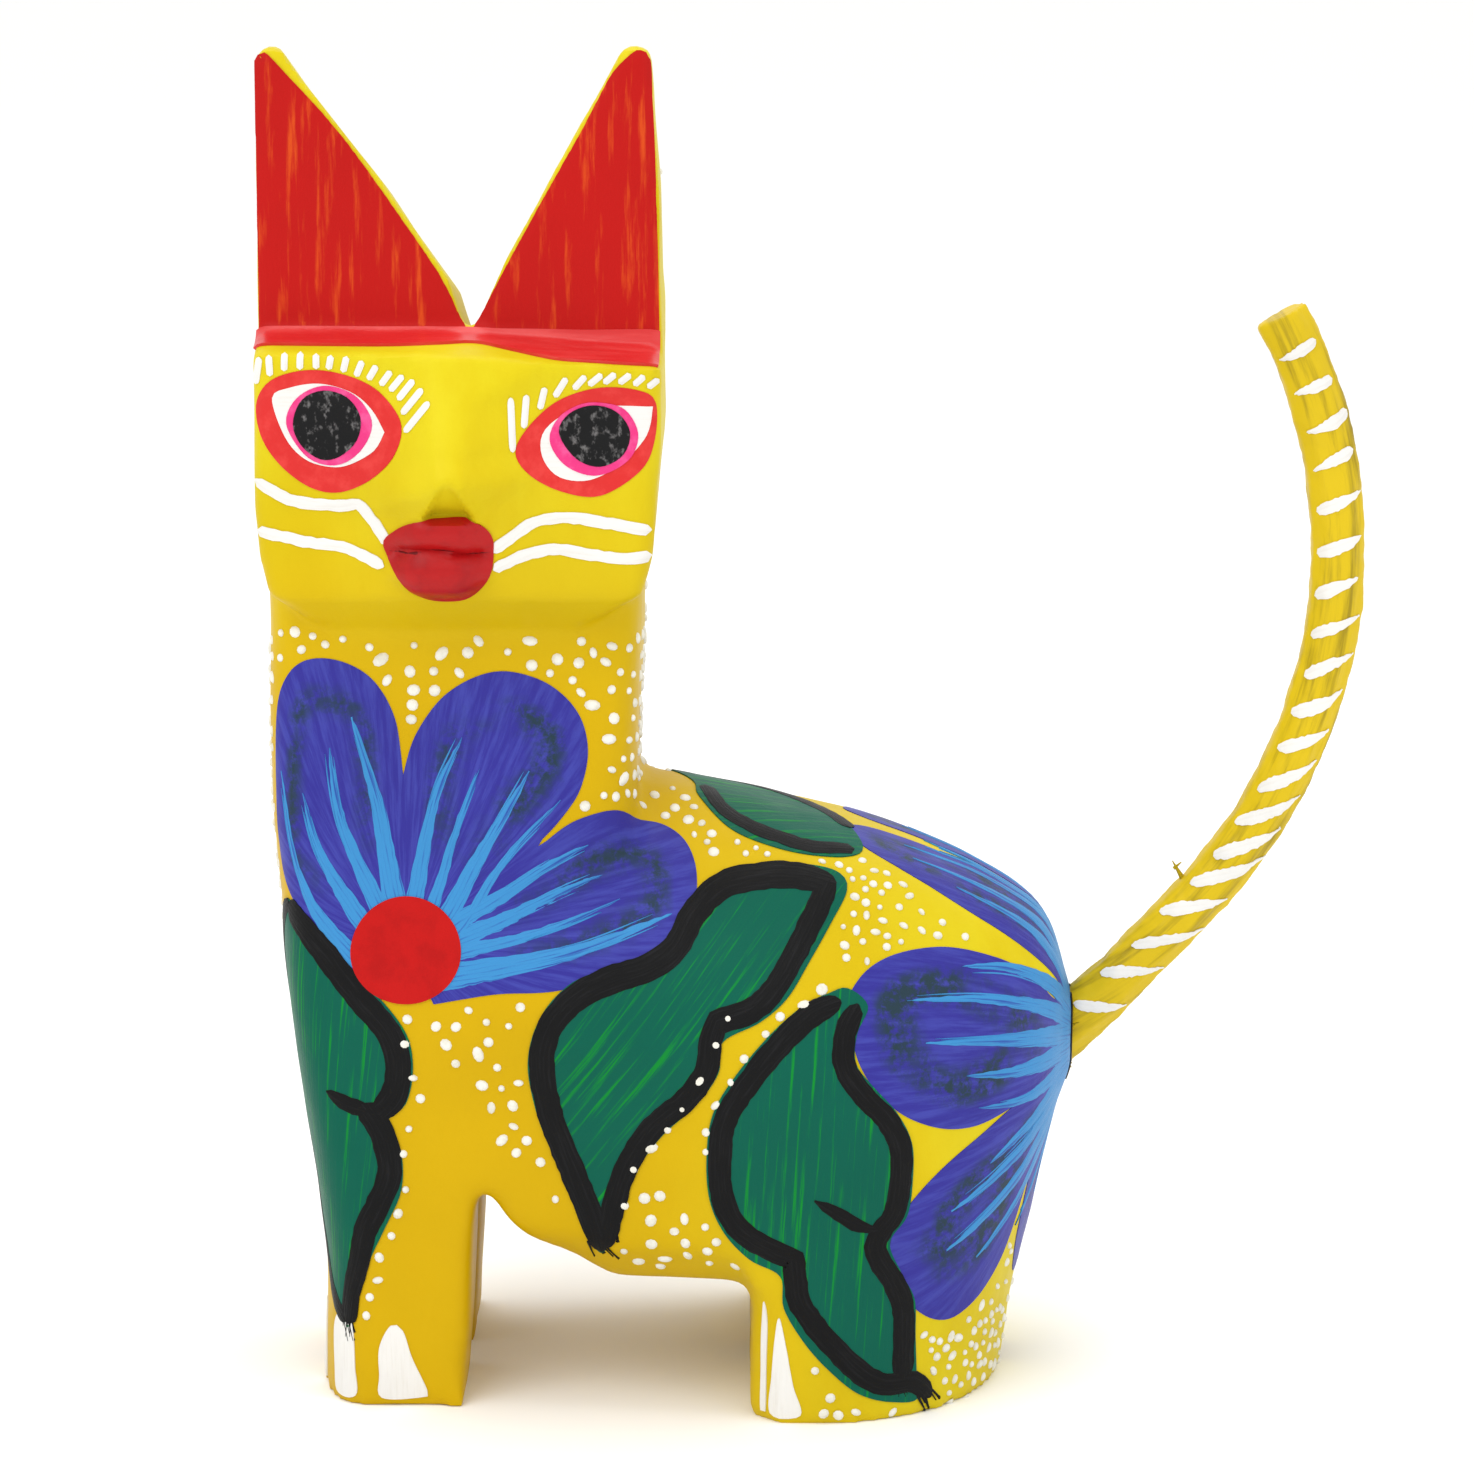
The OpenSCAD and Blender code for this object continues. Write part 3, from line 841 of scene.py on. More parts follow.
@dataclass
class CarvedBlock:
    """The whittled cat without its tail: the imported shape, worn soft with sandpaper and knife.

    Attributes:
        shop: mixes its paint.
        cell: size of the mesh's cells, in millimetres.
        passes: how often sandpaper goes over the whole block, and over the trunk.
        waviness: how uneven the sanded wood is, in millimetres.
        swell: how wide one swell of it is, in millimetres.
        leg_trim: how much is cut off the near foreleg's back edge at the floor.
        belly_drop: how far the belly hangs lower in its middle.
        socket_swell: how far the wood stands out round the tail's socket.
    """

    shop: PaintShop
    cell: float = 0.95
    passes: tuple[int, int] = (2, 42)
    waviness: float = 0.5
    swell: float = 16.0
    leg_trim: float = 1.6
    belly_drop: float = 2.2
    socket_swell: float = 0.7

    def build(self) -> Skin:
        """Models the block and returns its surface for painting."""
        block = copy_of("carved_body", "painted_block")
        remesh(block, self.cell)
        sand(block, self.passes[0], None)
        sand(block, self.passes[1], self.trunk_share)
        sand(block, self.passes[1] // 3, self.head_share)
        self.whittle(block)
        unsettle(block, self.waviness, self.swell)
        self.stand(block)
        painter = Painter(Skin(block), self.shop, Body.FIGURE)
        painter.dress(block, "painted_block", YELLOW)
        bpy.ops.object.shade_smooth()
        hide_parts("carved_body")
        LOG.info("painted_block: %d faces", len(block.data.polygons))
        return Skin(block)

    @staticmethod
    def stand(block: Piece) -> None:
        """Saws the feet off flat on the floor."""
        for vertex in block.data.vertices:
            vertex.co.z = max(vertex.co.z, 0.0)

    @staticmethod
    def trunk_share(x: float, y: float, z: float) -> float:
        """Says how much of the long sanding a point of the trunk or haunch gets."""
        share = fade(x, 34, 44) * (1 - fade(z, 88, 100)) * fade(z, 3, 14)
        share = max(share, (1 - fade(x, 38, 46)) * (1 - fade(z, 70, 92)) * fade(z, 0.5, 4))
        near_socket = math.dist((x, y, z), SOCKET)
        return share * fade(near_socket, 6, 12)

    @staticmethod
    def head_share(x: float, y: float, z: float) -> float:
        """Says how much of the short sanding a point of the neck and the forelegs gets."""
        return (1 - fade(x, 40, 52)) * fade(z, 1, 5) * (1 - fade(z, 108, 116))

    def whittle(self, block: Piece) -> None:
        """Cuts the nose, the mouth, the belly and the near foreleg's back edge as the knife left them."""
        bpy.ops.object.mode_set(mode="EDIT")
        bpy.ops.mesh.select_all(action="DESELECT")
        bpy.ops.object.mode_set(mode="OBJECT")
        for face in block.data.polygons:
            x, y, z = measure(face.center)
            face.select = y < -24 and 14 < x < 44 and 120 < z < 150
        bpy.ops.object.mode_set(mode="EDIT")
        bpy.ops.mesh.subdivide(number_cuts=1)
        bpy.ops.object.mode_set(mode="OBJECT")
        for vertex in block.data.vertices:
            x, y, z = measure(vertex.co)
            if y < -22 and 118 < z < 160:
                y += self.nose_cut(x, z)
            if z < 40 and y < 0:
                x -= self.leg_trim * (1 - fade(z, 6, 40)) * fade(x, 30, 38) * (1 - fade(x, 52, 56))
            if 44 < x < 100 and z < 42:
                along = fade(x, 44, 54) * (1 - fade(x, 88, 100))
                z -= self.belly_drop * (1 - fade(z, 30, 42)) * along * fade(z, 14, 20)
            if x > 112:
                x += self.socket_swell * (1 - fade(math.dist((y, z), SOCKET[1:]), 6, 12))
            vertex.co = place(x, y, z)

    @staticmethod
    def nose_cut(x: float, z: float) -> float:
        """Returns how far back the face is cut at a point, in millimetres. Below 0 it stands out."""
        nose_x, nose_z, mouth_z = 28.9, 143.6, 132.4
        aside = abs(x - nose_x)
        muzzle = -2.4 * fade(z, 134, 139) * (1 - fade(z, 140, 147)) * (1 - fade(aside, 2, 14))
        bridge = -0.9 * fade(z, 141, 145) * (1 - fade(z, 150, 160)) * (1 - fade(aside, 0, 7))
        below = max(0.0, (nose_z - z) / 7)
        half = 4.1 * below
        under = 3.4 * below * (1 - fade(aside, half * 0.7, half + 0.5)) * fade(z, 136, 138.5)
        line = mouth_z + 0.5 * math.sin((x - 21) / 2.6)
        mouth = 1.2 * math.exp(-((z - line) / 0.8) ** 2) * fade(x, 19, 22) * (1 - fade(x, 33, 36))
        return muzzle + bridge + under + mouth


def lay_marks(piece: Piece, marks: np.ndarray) -> None:
    """Gives each vertex its place in the run of the brush, in millimetres."""
    corners = np.array([loop.vertex_index for loop in piece.data.loops])
    layers = piece.data.uv_layers
    layer = layers[0] if layers else layers.new()
    layer.name = BRUSH
    layer.data.foreach_set("uv", (marks[corners] * MM).astype(np.float32).ravel())


def fade(value: float, low: float, high: float) -> float:
    """Returns 0 below low, 1 above high and a smooth change between."""
    t = min(1.0, max(0.0, (value - low) / (high - low)))
    return t * t * (3 - 2 * t)


def copy_of(node: str, name: str) -> Piece:
    """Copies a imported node's mesh into a new object and closes the copy's loose triangles.

    Args:
        node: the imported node.
        name: the new object's name.

    Returns:
        The new object, selected and active.
    """
    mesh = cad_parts[node].data.copy()
    mesh.materials.clear()
    piece = bpy.data.objects.new(name, mesh)
    bpy.context.scene.collection.objects.link(piece)
    bpy.ops.object.select_all(action="DESELECT")
    piece.select_set(True)
    bpy.context.view_layer.objects.active = piece
    bpy.ops.object.mode_set(mode="EDIT")
    bpy.ops.mesh.select_all(action="SELECT")
    bpy.ops.mesh.remove_doubles(threshold=1e-6)
    bpy.ops.object.mode_set(mode="OBJECT")
    return piece


def remesh(piece: Piece, cell: float) -> None:
    """Rebuilds a closed shape as even cells of the given size in millimetres."""
    modifier = piece.modifiers.new("cells", "REMESH")
    modifier.mode = "VOXEL"
    modifier.voxel_size = cell * MM
    bpy.ops.object.modifier_apply(modifier=modifier.name)


def sand(piece: Piece, passes: int, share: Optional[Share]) -> None:
    """Smooths a mesh, by a share at each point where one is given.

    Args:
        piece: the mesh.
        passes: how many times to smooth.
        share: how much of it a point gets, from its place in millimetres.
    """
    modifier = piece.modifiers.new("sandpaper", "SMOOTH")
    modifier.factor = 0.5
    modifier.iterations = passes
    if share:
        group = piece.vertex_groups.new(name="sandpaper")
        for vertex in piece.data.vertices:
            amount = share(*measure(vertex.co))
            if amount > 0.01:
                group.add([vertex.index], amount, "REPLACE")
        modifier.vertex_group = group.name
    bpy.ops.object.modifier_apply(modifier=modifier.name)
    piece.vertex_groups.clear()


def unsettle(piece: Piece, height: float, size: float) -> None:
    """Makes a surface slightly uneven, as hand work is.

    Args:
        piece: the mesh.
        height: how far it moves in all, in millimetres.
        size: how wide the swells are, in millimetres.
    """
    swell = bpy.data.textures.new("swell", "CLOUDS")
    swell.noise_scale = size * MM
    swell.noise_depth = 1
    modifier = piece.modifiers.new("swell", "DISPLACE")
    modifier.texture = swell
    modifier.texture_coords = "LOCAL"
    modifier.strength = height * MM
    modifier.mid_level = 0.5
    bpy.ops.object.modifier_apply(modifier=modifier.name)


@dataclass
class TwigTail:
    """The tail: a bent twig, painted, with white bands and torn fibres where it leaves the rump.

    Attributes:
        shop: mixes its paints.
        cell: size of its mesh's cells, in millimetres.
        bands: how many white bands each side has.
        band_gap: distance from one band to the next.
        band_start: where the first band is, along the tail.
        band_width: a band's usual width.
        reversed_from: the band from which on the brush was drawn the other way.
        seed: seed of its unevenness.
    """

    shop: PaintShop
    cell: float = 0.5
    bands: int = 19
    band_gap: float = 6.5
    band_start: float = -24
    band_width: float = 1.9
    reversed_from: int = 15
    seed: int = 21

    def build(self) -> None:
        """Models the twig and its bands."""
        twig = copy_of("tail", "painted_twig")
        remesh(twig, self.cell)
        sand(twig, 5, None)
        unsettle(twig, 0.7, 7.0)
        unsettle(twig, 0.35, 2.2)
        self.seat(twig)
        self.run_marks(twig)
        self.painter = Painter(Skin(twig), self.shop, Body.TAIL)
        self.painter.dress(twig, "painted_twig", TAIL_YELLOW)
        bpy.ops.object.shade_smooth()
        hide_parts("tail")
        for side in Side:
            self.paint_bands(side)
        self.tear_fibres()

    def seat(self, twig: Piece) -> None:
        """Draws the wood round the peg out to the rump."""
        chart = TwigChart()
        core, _ = chart.aim(0.0, 0.0)
        slope = chart.slope(0.0)
        along = Vector((-math.sin(slope), 0, math.cos(slope)))
        for vertex in twig.data.vertices:
            x, y, z = measure(vertex.co)
            away = Vector((x, y, z)) - core
            if (away - along * away.dot(along)).length > 2.8:
                vertex.co.x -= 1.1 * (1 - fade(x, 123, 128)) * MM

    def run_marks(self, twig: Piece) -> None:
        """Gives the twig a run of brush marks along its length."""
        chart = TwigChart()
        marks = []
        for vertex in twig.data.vertices:
            x, _, z = measure(vertex.co)
            x, z = x - chart.centre[0], z - chart.centre[1]
            marks.append((math.atan2(z, x) * chart.bend, math.hypot(x, z)))
        lay_marks(twig, np.array(marks))

    def paint_bands(self, side: Side) -> None:
        """Draws the short slanting bands of one side, each from the hollow of the bend outwards and up."""
        chart = TwigChart(side=side)
        draw = random.Random(self.seed + side.value)
        strokes = []
        for k in range(self.bands):
            u = self.band_start + k * self.band_gap + draw.uniform(-0.5, 0.5)
            slope = chart.slope(u)
            rise = math.radians(min(24.0, 1 + 2.2 * k) + draw.uniform(-5, 6))
            way = (math.sin(rise - slope), math.cos(rise - slope))
            reach = 7.2 / max(0.55, way[1]) * draw.uniform(0.86, 1.04)
            start = (u, -3.4 + draw.uniform(-0.3, 0.5))
            bow = draw.uniform(-0.5, 0.5)
            path = [(start[0] + t * reach * way[0] + bow * math.sin(math.pi * t) * way[1],
                     start[1] + t * reach * way[1]) for t in (0, 0.33, 0.66, 1)]
            if k >= self.reversed_from:
                path.reverse()
            width = self.band_width * draw.uniform(0.85, 1.2)
            strokes.append(self.painter.stroke(f"band_{k}", path, width, Taper.DROP, chart, 0.24, WHITE,
                                               spacing=0.45, wobble=0.12, seed=k))
        self.painter.join(f"{side.name.lower()}_tail_bands", strokes)

    def tear_fibres(self) -> None:
        """Sets torn yellow fibres round the end that sits on the rump, and one broken side twig."""
        draw = random.Random(self.seed)
        fibres = []
        for turn in turns(18):
            spread = draw.uniform(3.4, 4.4)
            x = 121.7 + draw.uniform(-0.3, 0.5)
            spot = place(x, spread * math.sin(turn), 52.6 + 1.3 * spread * math.cos(turn))
            ahead, lift = draw.uniform(0.1, 0.9), draw.uniform(-0.4, 0.4)
            lean = Vector((ahead, 0.5 * math.sin(turn), 0.7 * math.cos(turn) + lift))
            fibres.append(self.fibre(spot, lean, draw.uniform(0.25, 0.55), draw.uniform(1.4, 3.0)))
        chart = TwigChart()
        spot, _ = self.painter.skin.touch(*chart.line(2, -6.28))
        fibres.append(self.fibre(spot, Vector((-0.5, 0, 0.86)), 0.5, 3.4))
        fibres.append(self.fibre(spot + Vector((-1.2, 0, 1.5)) * MM, Vector((0.75, 0, 0.66)), 0.3, 1.6))
        self.painter.join("torn_fibres", fibres)

    def fibre(self, spot: Vector, lean: Vector, radius: float, length: float) -> Piece:
        """Models one pointed fibre.

        Args:
            spot: its root.
            lean: the way it points.
            radius: its root's radius in millimetres.
            length: its length in millimetres.

        Returns:
            The fibre.
        """
        bpy.ops.object.select_all(action="DESELECT")
        bpy.ops.mesh.primitive_cone_add(vertices=7, radius1=radius, radius2=0.08, depth=length)
        piece = bpy.context.object
        turn = lean.to_track_quat("Z", "Y")
        for vertex in piece.data.vertices:
            vertex.co = spot + turn @ (vertex.co + Vector((0, 0, 0.4 * length))) * MM
        layer = piece.data.uv_layers[0]
        layer.name = BRUSH
        return self.painter.dress(piece, "fibre", TAIL_YELLOW)


@dataclass
class Face:
    """The cat's painted face: red ears and brow, eyes, lashes, whiskers and lips."""

    painter: Painter

    def build(self) -> None:
        """Paints the face."""
        self.paint_ears()
        self.paint_eyes()
        self.paint_lashes()
        self.paint_whiskers()
        self.paint_lips()

    def paint_ears(self) -> None:
        """Fills both ears' fronts and the ledge under them with red."""
        ears = [(0.6, 162.4), (0.6, 162.4), (0.6, 185), (0.6, 203), (0.6, 203), (2, 204.2), (5.6, 200.5),
                (9.5, 196.2), (13.5, 191.3), (17.2, 186.3), (21.4, 180.2), (24.6, 175.5), (27.3, 171.3),
                (28.8, 168.2), (30, 165.3), (31.6, 163), (31.6, 163), (33.3, 165.4), (35.1, 168.9),
                (37.4, 173.3), (41.5, 180.7), (44.9, 186.7), (48.1, 192.3), (50.6, 196.9), (53.1, 201.4),
                (55.6, 204), (57, 204.5), (58.2, 203.2), (58.5, 198), (58.9, 190), (59.3, 175),
                (59.5, 162.4), (59.5, 162.4)]
        self.painter.patch("ear_fronts", ears, FACE_CHART, 0.3, EAR_RED, grain=90, step=1.0)
        brow = [(0.4, 102.4), (0.4, 102.4), (0.4, 97), (0.4, 97), (11.5, 96.7), (21.7, 96.6), (27, 97),
                (32.7, 98), (38, 96), (44.3, 94), (50, 93.4), (56.3, 93.2), (59.4, 93.4), (59.4, 93.4),
                (59.5, 102.4), (59.5, 102.4)]
        # The ledge takes a lighter red than the ears: painted light.
        self.painter.patch("brow_ledge", brow, BROW_CHART, 0.48, LIT_BROW_RED, step=0.8)

    def paint_eyes(self) -> None:
        """Paints each eye in coats: red ring, white almond, pink ring and scuffed black pupil."""
        left = (
            ("ring", EYE_RED, [(0.7, 154), (3.5, 157.6), (10, 158.8), (17.4, 156.6), (21.9, 151.7),
                               (21.1, 146.7), (17.3, 142.7), (12.8, 140.8), (8.4, 141.5), (4, 144.7),
                               (1.2, 149)]),
            ("white", WHITE, [(3, 154.6), (5.7, 156.2), (10, 156.8), (14.5, 155.6), (17.7, 153),
                              (19.6, 149.8), (19.6, 149.8), (18, 147), (14.4, 144.9), (11.4, 144.5),
                              (7.7, 145.6), (4.8, 148.8)]),
            ("pink", PINK, [(5, 150.8), (6.6, 154.6), (10.6, 156.5), (15, 155.2), (17.7, 151.5),
                            (16.7, 147.8), (13.8, 145.2), (10.6, 144.8), (7.5, 146.4)]),
            ("pupil", PUPIL, [(6, 150.8), (7.4, 154.4), (10.6, 155.8), (14, 154.8), (16, 151.8),
                              (15.4, 148.4), (12.8, 146), (10, 145.6), (7.2, 147.6)]),
        )
        right = (
            ("ring", EYE_RED, [(38.7, 147), (40.8, 150.8), (45.2, 154.4), (51, 156.2), (56.6, 155.8),
                               (59.1, 154), (59, 148.4), (57, 143.9), (51, 140.2), (45.1, 141),
                               (40.8, 143.5)]),
            ("white", WHITE, [(42.3, 148.5), (43.7, 150.8), (47.4, 152.9), (52.5, 153.5), (58.7, 153.3),
                              (58.7, 153.3), (57.8, 149), (54.2, 145), (49.5, 142.6), (45.2, 143),
                              (42.8, 145.4)]),
            ("pink", PINK, [(43.6, 148.5), (45, 151.8), (48.4, 153.8), (51.8, 153.9), (54.8, 152.8),
                            (56.6, 149.4), (55.6, 145.9), (52.4, 143.7), (49.2, 143.3), (45.6, 145)]),
            ("pupil", PUPIL, [(45, 149.6), (46.6, 152.4), (50, 153.6), (53.4, 152.6), (55.4, 149.6),
                              (54.4, 146.2), (51, 144.5), (47.4, 145.8)]),
        )
        for eye, coats in (("left_eye", left), ("right_eye", right)):
            for height, (coat, finish, outline) in enumerate(coats):
                self.painter.patch(f"{eye}_{coat}", outline, FACE_CHART, 0.12 + 0.07 * height, finish,
                                   step=1.0)

    def paint_lashes(self) -> None:
        """Draws the short white lashes above both eyes."""
        left = [((0.6, 156.6), (1.3, 160.6)), ((2.8, 157.9), (2.7, 160.9)), ((4.9, 158.7), (5, 161.2)),
                ((7.2, 158.9), (7.3, 161.3)), ((9.6, 159), (9.6, 161.1)), ((11.4, 158.9), (11.8, 160.9)),
                ((13.5, 158.5), (14.1, 160.8)), ((15.4, 157.9), (16.4, 160.2)),
                ((17.2, 157.4), (18.5, 159.6)), ((19, 156.6), (20.6, 158.8)), ((20.4, 155.8), (22.4, 158.2)),
                ((21.6, 154.6), (24, 157.6)), ((22.2, 152.6), (25.3, 156.4)), ((22.6, 150), (26.3, 154.6))]
        right = [((38.3, 147), (38, 155)), ((39.9, 150.4), (40.3, 155.3)), ((42.2, 153), (43, 156.3)),
                 ((44.4, 154.8), (46.2, 157.7)), ((47.2, 156), (49, 158)), ((49.4, 156.6), (51.4, 158.2)),
                 ((51.6, 156.9), (53.4, 158.3)), ((53.8, 156.9), (55.6, 158.2)), ((56, 156.6), (57.6, 158)),
                 ((58, 156.2), (59.6, 157.4))]
        strokes = [self.painter.stroke(f"lash_{k}", [root, middle(root, tip), tip], 0.98, Taper.ROUND,
                                       FACE_CHART, 0.22, WHITE, spacing=0.35)
                   for k, (root, tip) in enumerate(left + right)]
        self.painter.join("lashes", strokes)

    def paint_whiskers(self) -> None:
        """Draws two white whiskers on each cheek."""
        paths = (
            [(0.3, 142.4), (3, 140.8), (6.3, 139.4), (12.6, 138.8), (15.4, 139), (17.4, 137), (20, 133.2)],
            [(0.5, 134.9), (4, 134.2), (8.3, 133.3), (13, 132.7), (16, 131.4), (19.2, 129.8)],
            [(35, 132.2), (37.6, 134), (41.3, 136.4), (46.3, 137), (51.8, 136.2), (58.4, 135)],
            [(35.2, 129.5), (39.2, 131.3), (44.2, 132.3), (49.6, 131.5), (54, 130.9), (58.4, 131.2)],
        )
        strokes = [self.painter.stroke(f"whisker_{k}", path, 1.7, Taper.EVEN, FACE_CHART, 0.26, WHITE,
                                       spacing=0.9, wobble=0.1, seed=k) for k, path in enumerate(paths)]
        self.painter.join("whiskers", strokes)

    def paint_lips(self) -> None:
        """Paints the carved lips red and draws a dark red line in the crease between them, painted shade."""
        outline = [(19.2, 133), (21, 135.3), (24, 136.8), (28, 137.2), (32, 137.2), (34.6, 135.5),
                   (35.4, 132.5), (34.6, 128.6), (31.8, 125.4), (28.6, 124.7), (25, 125.3), (21.8, 128)]
        self.painter.patch("lips", outline, FACE_CHART, 0.32, LIP_RED, step=0.7)
        crease = [(19.6, 132.4), (23, 132), (27.5, 132.9), (31.5, 132.2), (35, 132.2)]
        # A dark red line along the crease between the lips: painted shade.
        self.painter.stroke("lip_crease", crease, 0.6, Taper.LENS, FACE_CHART, 0.36, LIP_CREASE_SHADE, spacing=0.7)


def middle(a: Point, b: Point) -> Point:
    """Returns the point half way between two points."""
    return ((a[0] + b[0]) / 2, (a[1] + b[1]) / 2)


@dataclass
class FrontFlower:
    """The half flower on each flank: three blue petals, light blue strokes and a red heart."""

    painter: Painter
    side: Side
    heart_radii: Point = (8.2, 8.1)

    def build(self) -> None:
        """Paints the flower of one flank."""
        post, shoulder = PostChart(side=self.side), Chart(up=SHOULDER_UP, side=self.side)
        name = self.side.name.lower()
        heart_post, heart_shoulder = (-6.4, 71.5), (21.5, 48.6)
        left = [(-8, 72), (-11, 66), (-13, 67.1), (-14.3, 68.4), (-18.5, 72.6), (-22.5, 75.6), (-27.8, 78.1),
                (-31.3, 81), (-32.9, 85), (-33.8, 94), (-34, 104), (-32.5, 110), (-28, 114), (-21, 114.6),
                (-14, 111.8), (-9.5, 105.8), (-7.6, 97.6), (-7.6, 97.6), (-6.5, 85)]
        top = [(-5, 72), (-7.6, 86), (-7.6, 97.4), (-7.6, 97.4), (-5.8, 103.2), (-1.2, 108.8), (5, 112),
               (11.3, 112.8), (18.5, 110.8), (23.4, 106.5), (24.4, 101), (22.2, 95.2), (18.2, 90.8),
               (15, 88), (15, 88), (5, 76)]
        right = [(22, 50), (34, 58), (42.6, 63.2), (42.6, 63.2), (45.9, 65.6), (49.5, 67.2), (54, 68.6),
                 (59, 68.8), (62.8, 66.2), (64.8, 61.6), (65, 56), (63.6, 51.4), (57.4, 46.2), (45.4, 42.2),
                 (34.9, 41.7), (25.7, 40.6), (25.7, 40.6)]
        for petal, outline, chart, lift, centre, scrub in (
            ("left", left, post, 0.12, heart_post, (3.5, 9)),
            ("top", top, post, 0.13, heart_post, (3.5, 10)),
            ("right", right, shoulder, 0.14, heart_shoulder, (3.5, 9)),
        ):
            self.painter.patch(f"{name}_petal_{petal}", outline, chart, lift, BLUE, centre=centre,
                               scrub=scrub)
        on_post = (
            [(-12, 69), (-15.4, 71.6), (-25.4, 82), (-31.6, 97.5)], [(-10.5, 72.5), (-14, 76.8),
                                                                     (-20.4, 85.2), (-25.2, 94.6)],
            [(-8.5, 74), (-11.4, 79.3), (-17.2, 90.4), (-20.8, 101.4)], [(-7, 75), (-8.5, 80.2),
                                                                         (-11.8, 93.8), (-17.3, 106)],
            [(-5.6, 74), (-5, 79.8), (-2.2, 93.8), (2.4, 103)], [(-4, 74), (-2.1, 78.8), (1.5, 90),
                                                                 (5.3, 98.3)],
            [(-2.6, 73), (0.2, 77.2), (5.6, 86.6), (13.8, 98)], [(-1, 72), (2.3, 75.4), (9.2, 85.4),
                                                                 (18.6, 93.7)],
        )
        on_shoulder = (
            [(25, 49), (29.8, 52.3), (34.9, 55), (42.2, 59.4), (48.8, 63)],
            [(25, 48), (29.8, 49.7), (36.3, 52.3), (43.6, 55.8), (50.9, 59.2)],
            [(26, 46.5), (30.5, 47.8), (39.3, 49.8), (46.6, 52.4), (53.6, 55.6)],
            [(24.5, 44), (29.8, 44.6), (39.3, 46), (49.5, 48.4), (61.4, 53.3)],
        )
        widths = (3.0, 3.4, 3.2, 4.0, 3.2, 2.2, 3.4, 2.0, 3.2, 3.4, 2.4, 4.0)
        strokes = []
        for k, path in enumerate(on_post + on_shoulder):
            chart = post if k < len(on_post) else shoulder
            strokes += dry_stroke(self.painter, path, widths[k], chart, 0.22, SKY, seed=k)
        self.painter.join(f"{name}_flower_strokes", strokes)
        wide, high = self.heart_radii
        heart = [(-6.4 + wide * math.cos(a), 71.4 + high * math.sin(a)) for a in turns(14)]
        self.painter.patch(f"{name}_flower_heart", heart, post, 0.32, RED, step=1.2)


def turns(count: int) -> list[float]:
    """Returns count angles evenly spaced round a circle, in radians."""
    return [2 * math.pi * k / count for k in range(count)]


def dry_stroke(painter: Painter, path: Sequence[Point], width: float, chart: Chart, lift: float,
               finish: Finish, seed: int) -> list[Piece]:
    """Draws a pointed stroke whose end breaks up into a few hairs, as a drying brush leaves it.

    Args:
        painter: lays the strokes.
        path: points that the stroke goes through.
        width: width at its start.
        chart: how it is laid on the wood.
        lift: how high it stands, in millimetres.
        finish: its paint.
        seed: seed of its unevenness.

    Returns:
        The stroke and its hairs.
    """
    draw = random.Random(seed * 31 + 5)
    parts = [painter.stroke("stroke", path, width, Taper.POINTED, chart, lift, finish, wobble=0.1, seed=seed)]
    line = smooth_run(path, 1.2)
    for _ in range(3):
        first = int(len(line) * draw.uniform(0.45, 0.62))
        last = int(len(line) * draw.uniform(0.85, 1.0))
        spread = width * draw.uniform(-0.3, 0.3)
        hair = []
        for index in range(first, last, 3):
            (x0, y0), (x1, y1) = line[index - 1], line[index]
            reach = math.dist((x0, y0), (x1, y1)) or 1.0
            hair.append((x1 - (y1 - y0) / reach * spread, y1 + (x1 - x0) / reach * spread))
        if len(hair) > 2:
            parts.append(painter.stroke("hair", hair, 0.32, Taper.LENS, chart, lift - 0.02, finish, across=2))
    return parts


